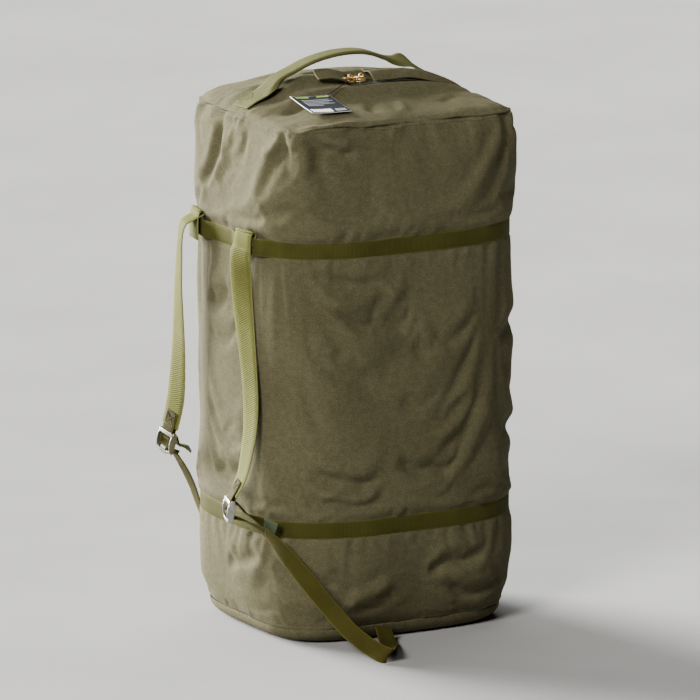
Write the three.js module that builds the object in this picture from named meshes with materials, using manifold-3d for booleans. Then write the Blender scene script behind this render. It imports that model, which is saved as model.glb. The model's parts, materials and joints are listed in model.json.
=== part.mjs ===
// A stuffed canvas duffel bag standing on end: two webbing bands, a zip over one narrow face and on to the
// top, a carry handle over the top, two backpack straps with ladder-lock buckles, and a retail tag.
// Millimetres, +Z up. The origin is at the centre of the base, on the floor. The straps hang on the -X face,
// the zip runs up the +X face, and the wide front face looks along -Y.
import * as THREE from "three";
import { mergeVertices } from "three/addons/utils/BufferGeometryUtils.js";
import Module from "manifold-3d";

const wasm = await Module();
wasm.setup();

// Driving dimensions
const HEIGHT = 800; // floor to the crown of the top panel
const TOP_SEAM = 758; // height of the seam round the top panel
const BOTTOM_SEAM = 24; // height of the seam round the bottom panel
const CANVAS = 3; // thickness of a canvas wall with its lining
const GAP = 0.3; // space between neighbouring pieces
const WEBBING = 2; // thickness of the wide webbing
const THIN_WEBBING = 1.6; // thickness of the narrow webbing
const WIDE = 38; // width of the shoulder straps and the handle
const NARROW = 25; // width of the bands and the lower straps
const BAND_HEIGHTS = { lower_band: 172, upper_band: 582 };
const STRAP_SIDE = { near: -61, far: 87 }; // Y of each shoulder strap where it comes up behind the upper band
const STRAP_TOP = { near: 603, far: 608 }; // height of each strap where it turns over the band
const SLOT = 18; // half width of the opening that the zip closes
const TAPE_OUTER = 16.5; // from the zip's middle to a tape's outer edge
const TEETH = 4; // half width of the row of teeth
const FRONT_CROWN = 25; // how far the top panel rises above its seam in front of the zip
const BACK_CROWN = HEIGHT - TOP_SEAM - CANVAS - GAP; // and behind the zip

// Colours
const CANVAS_OLIVE = 0x6b664c;
const WEBBING_OLIVE = 0x7d7b3c;
const ZIP_DARK = 0x3a3a2a;
const BRASS = 0xc9a55c;
const STEEL = 0xb9b9b2;
const TAG_NAVY = 0x20242e;
const STRING_BLACK = 0x111111;

// ---------------------------------------------------------------- general helpers

// A closed solid between two sheets, each a function of u and v from 0 to 1. A ring closes on itself along u.
function slab(outer, inner, uSteps, vSteps, ring = false) {
  const uCount = ring ? uSteps : uSteps + 1;
  const vCount = vSteps + 1;
  const positions = [];
  for (const sheet of [outer, inner]) {
    for (let i = 0; i < uCount; i++) {
      for (let j = 0; j < vCount; j++) {
        positions.push(...sheet(i / uSteps, j / vSteps));
      }
    }
  }
  const at = (side, i, j) => (side * uCount + (i % uCount)) * vCount + j;
  const faces = [];
  const quad = (a, b, c, d) => faces.push(a, b, c, a, c, d);
  for (let i = 0; i < uSteps; i++) {
    for (let j = 0; j < vSteps; j++) {
      quad(at(0, i, j), at(0, i + 1, j), at(0, i + 1, j + 1), at(0, i, j + 1));
      quad(at(1, i, j), at(1, i, j + 1), at(1, i + 1, j + 1), at(1, i + 1, j));
    }
    quad(at(0, i, 0), at(1, i, 0), at(1, i + 1, 0), at(0, i + 1, 0));
    quad(at(0, i, vSteps), at(0, i + 1, vSteps), at(1, i + 1, vSteps), at(1, i, vSteps));
  }
  if (!ring) {
    for (let j = 0; j < vSteps; j++) {
      quad(at(0, 0, j), at(0, 0, j + 1), at(1, 0, j + 1), at(1, 0, j));
      quad(at(0, uSteps, j), at(1, uSteps, j), at(1, uSteps, j + 1), at(0, uSteps, j + 1));
    }
  }
  return closed(positions, faces);
}

// Merges shared corners, drops the faces that vanish with them, and turns the faces outwards.
function closed(positions, faces) {
  let geometry = new THREE.BufferGeometry();
  geometry.setAttribute("position", new THREE.Float32BufferAttribute(positions, 3));
  geometry.setIndex(faces);
  geometry = mergeVertices(geometry, 1e-3);
  const index = geometry.index.array;
  const kept = [];
  for (let i = 0; i < index.length; i += 3) {
    const [a, b, c] = index.slice(i, i + 3);
    if (a !== b && b !== c && c !== a) kept.push(a, b, c);
  }
  geometry.setIndex(signedVolume(geometry, kept) < 0 ? kept.reverse() : kept);
  geometry.computeVertexNormals();
  return geometry;
}

function signedVolume(geometry, faces) {
  const place = geometry.getAttribute("position");
  const corner = (i) => new THREE.Vector3().fromBufferAttribute(place, faces[i]);
  let sum = 0;
  for (let i = 0; i < faces.length; i += 3) {
    sum += corner(i).dot(corner(i + 1).cross(corner(i + 2)));
  }
  return sum / 6;
}

function toSolid(geometry, matrix = new THREE.Matrix4()) {
  const bare = new THREE.BufferGeometry();
  const loose = geometry.index ? geometry.toNonIndexed() : geometry;
  bare.setAttribute("position", loose.getAttribute("position").clone());
  bare.applyMatrix4(matrix);
  const merged = mergeVertices(bare, 1e-3);
  return new wasm.Manifold(
    new wasm.Mesh({
      numProp: 3,
      vertProperties: merged.getAttribute("position").array,
      triVerts: new Uint32Array(merged.index.array),
    }),
  );
}

function toGeometry(solid) {
  const mesh = solid.getMesh();
  const geometry = new THREE.BufferGeometry();
  geometry.setAttribute("position", new THREE.Float32BufferAttribute(mesh.vertProperties, 3));
  geometry.setIndex(new THREE.Uint32BufferAttribute(mesh.triVerts, 1));
  geometry.computeVertexNormals();
  return geometry;
}

function box(sizeX, sizeY, sizeZ, x, y, z) {
  return toSolid(new THREE.BoxGeometry(sizeX, sizeY, sizeZ), new THREE.Matrix4().makeTranslation(x, y, z));
}

const vec = (x, y, z) => new THREE.Vector3(x, y, z);
const smooth = (t) => THREE.MathUtils.smoothstep(t, 0, 1);

// A strip swept through key places, each [x, y, z, side x, side y, side z]: the side is the way its width
// runs there. The width and the thickness are numbers or functions of u.
function ribbon(keys, width, thickness, steps) {
  const curve = new THREE.CatmullRomCurve3(keys.map((k) => vec(k[0], k[1], k[2])), false, "centripetal");
  const sides = new THREE.CatmullRomCurve3(keys.map((k) => vec(k[3], k[4], k[5])), false, "centripetal");
  const value = (amount, u) => (typeof amount === "function" ? amount(u) : amount);
  const point = (u, v, face) => {
    const tangent = curve.getTangent(u);
    const side = sides.getPoint(u).projectOnPlane(tangent).normalize();
    const normal = vec().crossVectors(tangent, side);
    return curve
      .getPoint(u)
      .addScaledVector(side, (v - 0.5) * value(width, u))
      .addScaledVector(normal, (face * value(thickness, u)) / 2)
      .toArray();
  };
  return slab((u, v) => point(u, v, 1), (u, v) => point(u, v, -1), steps, 1);
}

// ---------------------------------------------------------------- the bag's form

// Key cross-sections of the body: [height, half width along X, half depth along Y, squareness].
const SECTIONS = [
  [BOTTOM_SEAM, 189, 160, 4.2],
  [60, 202, 174, 3.8],
  [115, 210, 181, 3.4],
  [BAND_HEIGHTS.lower_band, 206, 178, 3.3],
  [240, 211, 182.5, 3.25],
  [400, 212, 183, 3.25],
  [520, 211, 182.5, 3.25],
  [BAND_HEIGHTS.upper_band, 206, 178, 3.3],
  [640, 211, 182, 3.6],
  [700, 208, 179, 4.4],
  [735, 200, 172, 6],
  [TOP_SEAM, 184, 160, 9],
];

// The cross-section at a height, between its two key sections.
function section(z) {
  let i = 1;
  while (i < SECTIONS.length - 1 && SECTIONS[i][0] < z) i++;
  const [low, high] = [SECTIONS[i - 1], SECTIONS[i]];
  const share = THREE.MathUtils.clamp((z - low[0]) / (high[0] - low[0]), 0, 1);
  const mix = (k) => THREE.MathUtils.lerp(low[k], high[k], share);
  return { width: mix(1), depth: mix(2), square: mix(3) };
}

// Distance from the axis to a superellipse's edge at a polar angle.
function reach(angle, width, depth, square) {
  const c = Math.abs(Math.cos(angle)) / width;
  const s = Math.abs(Math.sin(angle)) / depth;
  return (c ** square + s ** square) ** (-1 / square);
}

// A place on the wall, moved out by an offset.
function onWall(angle, z, offset = 0) {
  const { width, depth, square } = section(z);
  const r = reach(angle, width + offset, depth + offset, square);
  return [r * Math.cos(angle), r * Math.sin(angle), z];
}

// Height of the top panel's outer face. It stands higher behind the zip than in front of it.
function topHeight(x, y) {
  const share = panelShare(x, y);
  const crown = THREE.MathUtils.lerp(FRONT_CROWN, BACK_CROWN, smooth((y + 5) / 35));
  return TOP_SEAM + GAP + CANVAS + crown * (1 - Math.min(share, 1) ** 3);
}

// How far a place lies from the middle of the top panel to its seam, from 0 to 1.
function panelShare(x, y) {
  const top = SECTIONS[SECTIONS.length - 1];
  const angle = Math.atan2(y, x);
  let share = Math.hypot(x, y) / reach(angle, top[1], top[2], top[3]);
  for (let k = 0; k < 3; k++) {
    share = Math.hypot(x, y) / reach(angle, top[1], top[2], panelSquare(share));
  }
  return share;
}

// The panel's rings are round in its middle and as square as the seam at its edge.
const panelSquare = (share) => 2 + 7 * Math.min(share, 1) ** 3;

// ---------------------------------------------------------------- canvas

const SLOT_ANGLE = Math.atan2(SLOT, SECTIONS[0][1]);

function bodyWrap() {
  const angleAt = (u) => THREE.MathUtils.lerp(SLOT_ANGLE, 2 * Math.PI - SLOT_ANGLE, u);
  const heights = SECTIONS.map((s) => s[0]);
  const levels = heights.length - 1;
  const sheet = (offset) => (u, v) => onWall(angleAt(u), heights[Math.round(v * levels)], offset);
  return slab(sheet(0), sheet(-CANVAS), 56, levels);
}

function topPanel() {
  const top = SECTIONS[SECTIONS.length - 1];
  const rings = [0, 0.22, 0.42, 0.58, 0.7, 0.8, 0.88, 0.94, 1];
  const sheet = (drop) => (u, v) => {
    const share = rings[Math.round(v * (rings.length - 1))];
    const angle = 2 * Math.PI * u;
    const r = share * reach(angle, top[1], top[2], panelSquare(share));
    const [x, y] = [r * Math.cos(angle), r * Math.sin(angle)];
    return [x, y, topHeight(x, y) - drop];
  };
  const whole = slab(sheet(0), sheet(CANVAS), 56, rings.length - 1, true);
  const slotLength = 2 * top[1];
  const slot = box(slotLength, 2 * SLOT, 4 * BACK_CROWN, ZIP_START - 4 + slotLength / 2, 0, TOP_SEAM + BACK_CROWN / 2);
  return toGeometry(toSolid(whole).subtract(slot));
}

function bottomPanel() {
  const [, width, depth, square] = SECTIONS[0];
  const flat = 0.84; // the share of the panel that lies flat on the floor
  const rings = [0, flat, 0.89, 0.935, 0.97, 1];
  const rise = (share) => {
    const t = Math.max(0, (share - flat) / (1 - flat));
    return (BOTTOM_SEAM - GAP - CANVAS) * (1 - Math.sqrt(1 - t * t));
  };
  const sheet = (lift) => (u, v) => {
    const share = rings[Math.round(v * (rings.length - 1))];
    const angle = 2 * Math.PI * u;
    const r = share * reach(angle, width, depth, square);
    return [r * Math.cos(angle), r * Math.sin(angle), rise(share) + lift];
  };
  return slab(sheet(0), sheet(CANVAS), 48, rings.length - 1, true);
}

// ---------------------------------------------------------------- zip

// The zip's middle line, [x, z, x of its outward direction, z of it]: straight and level over the top, round
// the edge, and down the side to the bottom seam.
const ZIP_START = -10;
const ZIP_STRAIGHT_END = 82;
const ZIP_HEIGHT = topHeight(0, 0) - 1;

function zipKeys(startX) {
  const keys = [[startX, ZIP_HEIGHT, 0, 1]];
  if (startX < ZIP_STRAIGHT_END - 8) keys.push([ZIP_STRAIGHT_END - 8, ZIP_HEIGHT, 0, 1]);
  keys.push([ZIP_STRAIGHT_END, ZIP_HEIGHT - 0.2, 0.05, 1]);
  keys.push([125, topHeight(125, 0) - 1, 0.2, 0.98]);
  keys.push([158, topHeight(158, 0) - 1, 0.45, 0.9]);
  keys.push([178, TOP_SEAM + 1, 0.75, 0.66]);
  for (const [z, width] of SECTIONS.slice(1, -1).reverse()) keys.push([width - 1, z, 1, 0]);
  keys.push([SECTIONS[0][1] + 2, BOTTOM_SEAM + 6, 0.98, -0.2]);
  return keys;
}

// A strip that follows the zip. Its section is a function of v, u and the place on the zip's line, and gives
// [across, outwards].
function alongZip(startX, outerProfile, innerProfile, steps, across) {
  const keys = zipKeys(startX);
  const line = new THREE.CatmullRomCurve3(keys.map((k) => vec(k[0], 0, k[1])), false, "centripetal");
  const outwards = new THREE.CatmullRomCurve3(keys.map((k) => vec(k[2], 0, k[3])), false, "centripetal");
  const sheet = (profile) => (u, v) => {
    const place = line.getPoint(u);
    const [y, out] = profile(v, u, place);
    const normal = outwards.getPoint(u).projectOnPlane(line.getTangent(u)).normalize();
    return place.addScaledVector(normal, out).add(vec(0, y, 0)).toArray();
  };
  return slab(sheet(outerProfile), sheet(innerProfile), steps, across);
}

function zipStrip(fromY, toY, bottom, top) {
  const profile = (out) => (v) => [THREE.MathUtils.lerp(fromY, toY, v), out];
  return alongZip(ZIP_START, profile(top), profile(bottom), 36, 1);
}

// The hood over the zip: sewn down behind it, arched over it, and open along its front edge.
const FLAP = { start: 26, sewnY: SLOT + 4, frontY: -SLOT + 1, clear: 6, thickness: 1.8 };
function stormFlap() {
  const arch = (thickness) => (v, u, place) => {
    const x = Math.min(place.x, SECTIONS[SECTIONS.length - 1][1]);
    const step = Math.max(0, topHeight(x, FLAP.sewnY) - topHeight(x, 0));
    const crest = 8 + 6.5 * (1 - smooth((u - 0.1) / 0.14));
    const rise = Math.sin(Math.PI * Math.min(1, v * 1.12)) ** 0.7;
    const floor = THREE.MathUtils.lerp(FLAP.clear + step, 4, v);
    return [THREE.MathUtils.lerp(FLAP.sewnY, FLAP.frontY, v), Math.max(floor, crest * rise) + thickness];
  };
  return alongZip(FLAP.start, arch(FLAP.thickness), arch(0), 32, 6);
}

// The canvas tongue at the zip's closed end, lifted off the panel.
function zipTongue() {
  const start = ZIP_START - 6;
  const keys = [
    [start, 2, ZIP_HEIGHT + 9, 0, 1, 0.35],
    [start - 14, 4, ZIP_HEIGHT + 13, 0, 1, 0.35],
    [start - 30, 7, ZIP_HEIGHT + 16, 0, 1, 0.35],
    [start - 44, 9, ZIP_HEIGHT + 17, 0, 1, 0.35],
  ];
  return ribbon(keys, 28, 3.4, 8);
}

const SLIDER = { length: 14, width: 13, height: 6.5 };
const SLIDER_X = { slider_upper: 0, slider_lower: 18 };

// A slider clips over the teeth: a top plate, two flanges, and the bridge that holds its pull.
function slider() {
  const { length, width, height } = SLIDER;
  const bottom = 0.9; // just above the tapes
  const body = box(length, width, height - bottom, 0, 0, (height + bottom) / 2);
  const tunnel = box(length + 2, 2 * TEETH + 1.2, 3.4, 0, 0, bottom + 1.2);
  const flare = new THREE.Matrix4().makeTranslation(length / 2 + 2, 0, height / 2).multiply(
    new THREE.Matrix4().makeRotationZ(Math.PI / 4),
  );
  const corners = [-1, 1].map((side) =>
    toSolid(
      new THREE.BoxGeometry(8, 8, 2 * height),
      new THREE.Matrix4().makeTranslation(0, side * (width / 2 + 2.5), 0).multiply(flare),
    ),
  );
  const posts = [-1, 1].map((side) => box(4, 1.5, 4, 1, side * 3.4, height + 1.8));
  const shoe = body.subtract(tunnel).subtract(corners[0]).subtract(corners[1]);
  return toGeometry(shoe.add(posts[0]).add(posts[1]));
}

const PULL = { length: 15, width: 4.6, thickness: 1.8, eye: 4.8, hole: 2.3, heel: 1.3 };
const PULL_LIFT = SLIDER.height + 1.7; // height of a pull's middle above the zip

// A pull with a padlock eye, lying towards -X from its pivot.
function pull() {
  const { length, width, thickness, eye, hole, heel } = PULL;
  const shape = new THREE.Shape();
  shape.moveTo(heel, -width / 2);
  shape.lineTo(heel, width / 2);
  shape.lineTo(-length + 2 * eye, width / 2);
  shape.absarc(-length + eye, 0, eye, Math.PI * 0.34, Math.PI * 1.66, false);
  shape.lineTo(-length + 2 * eye, -width / 2);
  const opening = new THREE.Path();
  opening.absarc(-length + eye, 0, hole, 0, 2 * Math.PI, true);
  shape.holes.push(opening);
  const plate = new THREE.ExtrudeGeometry(shape, { depth: thickness, bevelEnabled: false, curveSegments: 10 });
  return plate.translate(0, 0, -thickness / 2);
}

// ---------------------------------------------------------------- webbing on the bag

// A band round the body. The upper one stands off the wall where the shoulder straps pass behind it.
const STAND_OFF = 7;
function band(height, standOff) {
  const offset = (angle) => {
    const [x, y] = onWall(angle, height);
    const bulge = (side) => 1 - smooth((Math.abs(y - side) - WIDE / 2 - 6) / 26);
    return x < 0 && standOff ? STAND_OFF * Math.max(bulge(STRAP_SIDE.near), bulge(STRAP_SIDE.far)) : 0;
  };
  const sheet = (lift) => (u, v) => {
    const angle = 2 * Math.PI * u;
    const z = height + (v - 0.5) * NARROW;
    const { width, depth, square } = section(height);
    const out = 3 + GAP + offset(angle) + lift;
    const r = reach(angle, width + out, depth + out, square);
    return [r * Math.cos(angle), r * Math.sin(angle), z];
  };
  const ring = slab(sheet(THIN_WEBBING), sheet(0), 72, 1, true);
  // The band is cut away under the storm flap, where its ends are sewn in beside the zip.
  const cut = box(60, 2 * SLOT + 12, 60, section(height).width, 0, height);
  return toGeometry(toSolid(ring).subtract(cut));
}

// The carry handle: each end is sewn flat to the top panel and rises in a narrowing neck. The grip between
// the two necks is folded lengthwise.
const HANDLE = {
  left: { seam: [-178, 20], free: [-148, 23] },
  right: { seam: [178, 57], free: [148, 53] },
  peak: [0, 38, 828],
  neckWidth: 21,
  folded: { width: 19, thickness: 4.6 },
  clear: { along: 2.6, up: 1.8 }, // from the neck's end to the grip
};
const HANDLE_SIDE = vec(-0.1, 0.995, 0);
const NECK = [
  [6, 3.8],
  [12, 7.8],
  [17, 12.5],
]; // [towards the grip, above the panel]

function handleEnd(end) {
  const { seam, free } = HANDLE[end];
  const keys = [0, 0.5, 1].map((t) => {
    const [x, y] = [0, 1].map((k) => THREE.MathUtils.lerp(seam[k], free[k], t));
    return [x, y, topHeight(x, y) + 2.6, ...HANDLE_SIDE.toArray()];
  });
  const inward = -Math.sign(free[0]);
  const foot = topHeight(...free);
  for (const [along, up] of NECK) {
    keys.push([free[0] + inward * along, free[1], foot + 2 + up, ...HANDLE_SIDE.toArray()]);
  }
  const narrowing = (u) => smooth((u - 0.6) / 0.35);
  return ribbon(keys, (u) => THREE.MathUtils.lerp(WIDE, HANDLE.neckWidth, narrowing(u)), WEBBING, 10);
}

// Where the grip meets the two necks, which is also the line that it swings about.
function handleGripEnds() {
  const [along, up] = NECK[NECK.length - 1];
  return ["left", "right"].map((end) => {
    const [x, y] = HANDLE[end].free;
    return vec(x - Math.sign(x) * (along + HANDLE.clear.along), y, topHeight(x, y) + 2 + up + HANDLE.clear.up);
  });
}

function handleGrip() {
  const [left, right] = handleGripEnds();
  const [, peakY, peakZ] = HANDLE.peak;
  const rise = (t) => Math.sin(Math.PI * t) ** 0.85;
  const keys = [0, 0.08, 0.2, 0.35, 0.5, 0.65, 0.8, 0.92, 1].map((t) => {
    const base = left.clone().lerp(right, t);
    const y = THREE.MathUtils.lerp(base.y, peakY, rise(t) * 0.5);
    return [base.x, y, THREE.MathUtils.lerp(base.z, peakZ, rise(t)), ...HANDLE_SIDE.toArray()];
  });
  const folded = (u) => smooth((Math.min(u, 1 - u) - 0.02) / 0.12);
  return ribbon(
    keys,
    (u) => THREE.MathUtils.lerp(HANDLE.neckWidth, HANDLE.folded.width, folded(u)),
    (u) => THREE.MathUtils.lerp(WEBBING, HANDLE.folded.thickness, folded(u)),
    20,
  );
}

// ---------------------------------------------------------------- backpack straps

// The side vector of a strap whose face looks along -X, turned by an angle towards -Y.
function facing(degrees) {
  const a = THREE.MathUtils.degToRad(degrees);
  return [Math.sin(a), -Math.cos(a), 0];
}

// Where a strap turns over the upper band: the middle of the turn, its side, and the way out from the wall.
const TURN_RADIUS = 5.4;
const TAB_FACING = { near: 9, far: -10 };
const TAB_CLEAR = 1.4; // from the wall to the sewn end
function strapTurn(set) {
  const y = STRAP_SIDE[set];
  const height = STRAP_TOP[set] - TURN_RADIUS - WEBBING / 2;
  const wall = onWall(Math.atan2(y, -section(height).width), height);
  const side = vec(...facing(TAB_FACING[set]));
  const out = vec(side.y, -side.x, 0);
  const tab = vec(wall[0], y, height).addScaledVector(out, TAB_CLEAR + WEBBING / 2);
  return { middle: tab.clone().addScaledVector(out, TURN_RADIUS), side, out };
}

// A key place on a strap's turn: how far out and how far up from the turn's middle.
function turnKey({ middle, side, out }, off, up) {
  const p = middle.clone().addScaledVector(out, off).add(vec(0, 0, up));
  return [...p.toArray(), ...side.toArray()];
}

// The sewn end behind the band, up to the top of the turn.
function strapTab(set) {
  const turn = strapTurn(set);
  const keys = [-36, -20, -4].map((up) => turnKey(turn, -TURN_RADIUS, up));
  for (const angle of [158, 132, 108]) {
    const a = THREE.MathUtils.degToRad(angle);
    keys.push(turnKey(turn, TURN_RADIUS * Math.cos(a), TURN_RADIUS * Math.sin(a)));
  }
  return ribbon(keys, WIDE, WEBBING, 12);
}

// Each shoulder strap below its turn: [x, y, z, degrees its face is turned].
const STRAP_LINES = {
  near: [
    [-221, -61, 574, 11],
    [-219.5, -60, 540, 19],
    [-217.5, -61, 502, 20],
    [-215, -67, 446, 14],
    [-213.5, -75, 385, 7],
    [-213.5, -78, 348, 5],
    [-215.5, -79, 311, 0],
    [-220, -78, 281, -4],
    [-229, -80, 247, -10],
    [-240.5, -75, 220, -14],
  ],
  far: [
    [-231, 92, 588, -16],
    [-235, 94, 570, -20],
    [-236, 96, 541, -17],
    [-237, 98, 494, -13],
    [-235, 101, 414, -2],
    [-236.5, 108, 323, 11],
    [-241.5, 116, 283, 9],
  ],
};

function strapKeys(set) {
  const turn = strapTurn(set);
  const over = [75, 50, 22, 0].map((angle) => {
    const a = THREE.MathUtils.degToRad(angle);
    return turnKey(turn, TURN_RADIUS * Math.cos(a), TURN_RADIUS * Math.sin(a));
  });
  return [...over, ...STRAP_LINES[set].map(([x, y, z, turned]) => [x, y, z, ...facing(turned)])];
}

// The frame at a strap's lower end: its place, the way down along it, its side and its outward face.
function strapEnd(set) {
  const keys = strapKeys(set);
  const curve = new THREE.CatmullRomCurve3(keys.map((k) => vec(k[0], k[1], k[2])), false, "centripetal");
  const down = curve.getTangent(1);
  const side = vec(...keys[keys.length - 1].slice(3)).projectOnPlane(down).normalize();
  const out = vec().crossVectors(down, side);
  return { place: curve.getPoint(1), down, side, out };
}

const LOOP = { leg: 2.8, overlap: 22, drop: 9 }; // leg offset, length sewn to the strap, strap end to bar

// The narrow loop sewn to both faces of the strap's end, round the buckle's top bar.
function buckleLoop(set) {
  const { place, down, side, out } = strapEnd(set);
  const keys = [];
  const add = (along, off) => {
    const p = place.clone().addScaledVector(down, along).addScaledVector(out, off);
    keys.push([p.x, p.y, p.z, side.x, side.y, side.z]);
  };
  for (const along of [-LOOP.overlap, -LOOP.overlap / 2, 0, LOOP.drop - 1.5]) add(along, LOOP.leg);
  for (const turn of [35, 90, 145]) {
    const a = THREE.MathUtils.degToRad(turn);
    add(LOOP.drop + LOOP.leg * Math.sin(a), LOOP.leg * Math.cos(a));
  }
  for (const along of [LOOP.drop - 1.5, 0, -LOOP.overlap / 2, -LOOP.overlap]) add(along, -LOOP.leg);
  return ribbon(keys, NARROW, THIN_WEBBING, 30);
}

// The buckle lies in its own plane: x across, y down from the middle of its top bar, z towards the bag.
const BUCKLE = { width: 34, bar: 2.4, inside: 27, flange: 10 };
const BUCKLE_BARS = [0, 11.5, 23, 34.5]; // top bar, two cross bars, lip
function buckle() {
  const { width, bar, inside, flange } = BUCKLE;
  const last = BUCKLE_BARS.length - 1;
  const sideWidth = (width - inside) / 2;
  const depth = BUCKLE_BARS[last] + bar;
  let frame = null;
  const add = (solid) => {
    frame = frame ? frame.add(solid) : solid;
  };
  BUCKLE_BARS.forEach((y, i) => add(box(inside + 2, bar, bar, 0, y, i === last ? -1 : 0)));
  for (const side of [-1, 1]) {
    const lens = new THREE.Shape();
    lens.moveTo(-1.2, -bar / 2);
    lens.lineTo(1.2, -bar / 2);
    lens.quadraticCurveTo(flange * 0.55, depth * 0.5, 0.6, depth - bar / 2);
    lens.lineTo(-1.6, depth - bar / 2);
    lens.quadraticCurveTo(-flange * 0.75, depth * 0.5, -1.2, -bar / 2);
    const plate = new THREE.ExtrudeGeometry(lens, { depth: sideWidth, bevelEnabled: false, curveSegments: 6 });
    // The lens is drawn in (z, y) and pushed across x.
    const turn = new THREE.Matrix4().makeBasis(vec(0, 0, 1), vec(0, 1, 0), vec(-1, 0, 0));
    const place = new THREE.Matrix4().makeTranslation(side * (inside / 2 + sideWidth / 2) + sideWidth / 2, 0, 0);
    add(toSolid(plate, place.multiply(turn)));
  }
  return toGeometry(frame);
}

function bucklePivot(set) {
  const { place, down } = strapEnd(set);
  return place.clone().addScaledVector(down, LOOP.drop);
}

// A buckle's own directions: its strap's, tilted about its top bar by the pull of the lower strap.
const BUCKLE_TILT = { near: 18, far: 0 };
function buckleFrame(set) {
  const { down, side, out } = strapEnd(set);
  const tilt = THREE.MathUtils.degToRad(BUCKLE_TILT[set]);
  return {
    side,
    down: down.clone().applyAxisAngle(side, tilt),
    out: out.clone().applyAxisAngle(side, tilt),
  };
}

function buckleMatrix(set) {
  const { side, down, out } = buckleFrame(set);
  return new THREE.Matrix4().makeBasis(side, down, out.clone().negate()).setPosition(bucklePivot(set));
}

// Each lower strap: its hemmed free end, the turn over the buckle's third bar, then down to the floor, a fold,
// and back to the bottom seam. The turn is worked out from the buckle; the rest is laid by hand.
const LOWER_ENDS = {
  near: [
    [-201, -130, 177, -0.4, -0.35, 0.85],
    [-212, -108, 184, -0.6, -0.5, 0.6],
    [-226, -84, 192, -0.55, -0.8, 0.2],
  ],
  far: [
    [-203, 128, 241, 0, 0.95, 0.3],
    [-213, 130, 247, 0, 1, 0.1],
    [-224, 131, 251, 0, 1, 0],
  ],
};
const LOWER_RUNS = {
  near: [
    [-227, -88, 180, -0.55, -0.8, 0.2],
    [-210, -120, 166, -0.5, -0.5, 0.7],
    [-172, -184, 98, -0.3, -0.4, 0.85],
    [-139, -236, 40, 0.35, -0.3, 0.85],
    [-120, -268, 19, 0.62, -0.3, 0.72],
    [-107, -286, 14, 0.6, -0.33, 0.72],
    [-99, -290, 13, 0.6, -0.33, 0.72],
    [-93, -282, 12.5, 0.6, -0.33, 0.7],
    [-78, -252, 9, 0.8, -0.35, 0.45],
    [-60, -212, 5, 0.93, -0.3, 0.1],
    [-50, -184, 8, 1, -0.1, 0],
    [-46, -171, 19, 1, 0, 0],
  ],
  far: [
    [-224, 134, 236, 0, 1, 0.1],
    [-202, 146, 208, -0.3, 0.8, 0.4],
    [-168, 176, 160, -0.35, 0.5, 0.75],
    [-138, 206, 104, 0, 0.4, 0.85],
    [-108, 224, 52, 0.7, 0.2, 0.6],
    [-78, 222, 16, 0.95, 0.1, 0.25],
    [-58, 200, 4, 1, 0.1, 0],
    [-50, 184, 8, 1, 0, 0],
    [-46, 171, 19, 1, 0, 0],
  ],
};

const LEG_REACH = 8; // how far both legs run towards the bag before they part
function lowerStrap(set) {
  const { down, side, out } = buckleFrame(set);
  const pivot = bucklePivot(set);
  const bar = BUCKLE_BARS[2];
  const radius = BUCKLE.bar / 2 + THIN_WEBBING / 2 + 0.9;
  const local = (along, off) => {
    const p = pivot.clone().addScaledVector(down, along).addScaledVector(out, off);
    return [p.x, p.y, p.z, side.x, side.y, side.z];
  };
  const turn = [local(bar - radius, -LEG_REACH)];
  for (const angle of [0, 45, 90, 135, 180]) {
    const a = THREE.MathUtils.degToRad(angle);
    turn.push(local(bar - radius * Math.cos(a), radius * Math.sin(a)));
  }
  turn.push(local(bar + radius, -LEG_REACH));
  return ribbon([...LOWER_ENDS[set], ...turn, ...LOWER_RUNS[set]], NARROW, THIN_WEBBING, 64);
}

// ---------------------------------------------------------------- retail tag

const TAG = { width: 62, length: 82, thickness: 0.8, turn: -5.6, tilt: 6, side: 1 };
const TAG_MIDDLE = vec(-98, -77, 785);
function tagMatrix() {
  const turn = new THREE.Matrix4().makeRotationZ(THREE.MathUtils.degToRad(TAG.turn));
  const tilt = new THREE.Matrix4().makeRotationX(THREE.MathUtils.degToRad(TAG.tilt));
  const lean = new THREE.Matrix4().makeRotationY(THREE.MathUtils.degToRad(-TAG.side));
  return new THREE.Matrix4().setPosition(TAG_MIDDLE).multiply(turn).multiply(tilt).multiply(lean);
}

const TAG_HOLE = vec(TAG.width / 2 - 5, TAG.length / 2 - 5, 0);
function hangTag() {
  const { width, length, thickness } = TAG;
  const card = new THREE.Shape();
  card.moveTo(-width / 2, -length / 2);
  card.lineTo(width / 2, -length / 2);
  card.lineTo(width / 2, length / 2);
  card.lineTo(-width / 2, length / 2);
  const hole = new THREE.Path();
  hole.absarc(TAG_HOLE.x, TAG_HOLE.y, 1.8, 0, 2 * Math.PI, true);
  card.holes.push(hole);
  const plate = new THREE.ExtrudeGeometry(card, { depth: thickness, bevelEnabled: false, curveSegments: 6 });
  return plate.translate(0, 0, -thickness / 2);
}

const STRING_RADIUS = 0.7;
function tagString() {
  const end = TAG_HOLE.clone().applyMatrix4(tagMatrix()).add(vec(0, 0, 1.6));
  const start = vec(SLIDER_X.slider_lower - PULL.length + PULL.eye - 1, -PULL.eye - 1.4, ZIP_HEIGHT + PULL_LIFT);
  const middle = start.clone().lerp(end, 0.5).add(vec(0, 0, 2.5));
  const path = new THREE.CatmullRomCurve3([start, middle, end]);
  const ring = new THREE.Shape();
  ring.absarc(0, 0, STRING_RADIUS, 0, 2 * Math.PI, false);
  return new THREE.ExtrudeGeometry(ring, { steps: 16, extrudePath: path, curveSegments: 4 });
}

// ---------------------------------------------------------------- assembly

const bag = new THREE.Group();

function add(name, geometry, color, roughness, metalness = 0, parent = bag) {
  const mesh = new THREE.Mesh(geometry, new THREE.MeshStandardMaterial({ color, roughness, metalness }));
  mesh.name = name;
  parent.add(mesh);
  return mesh;
}

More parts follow.
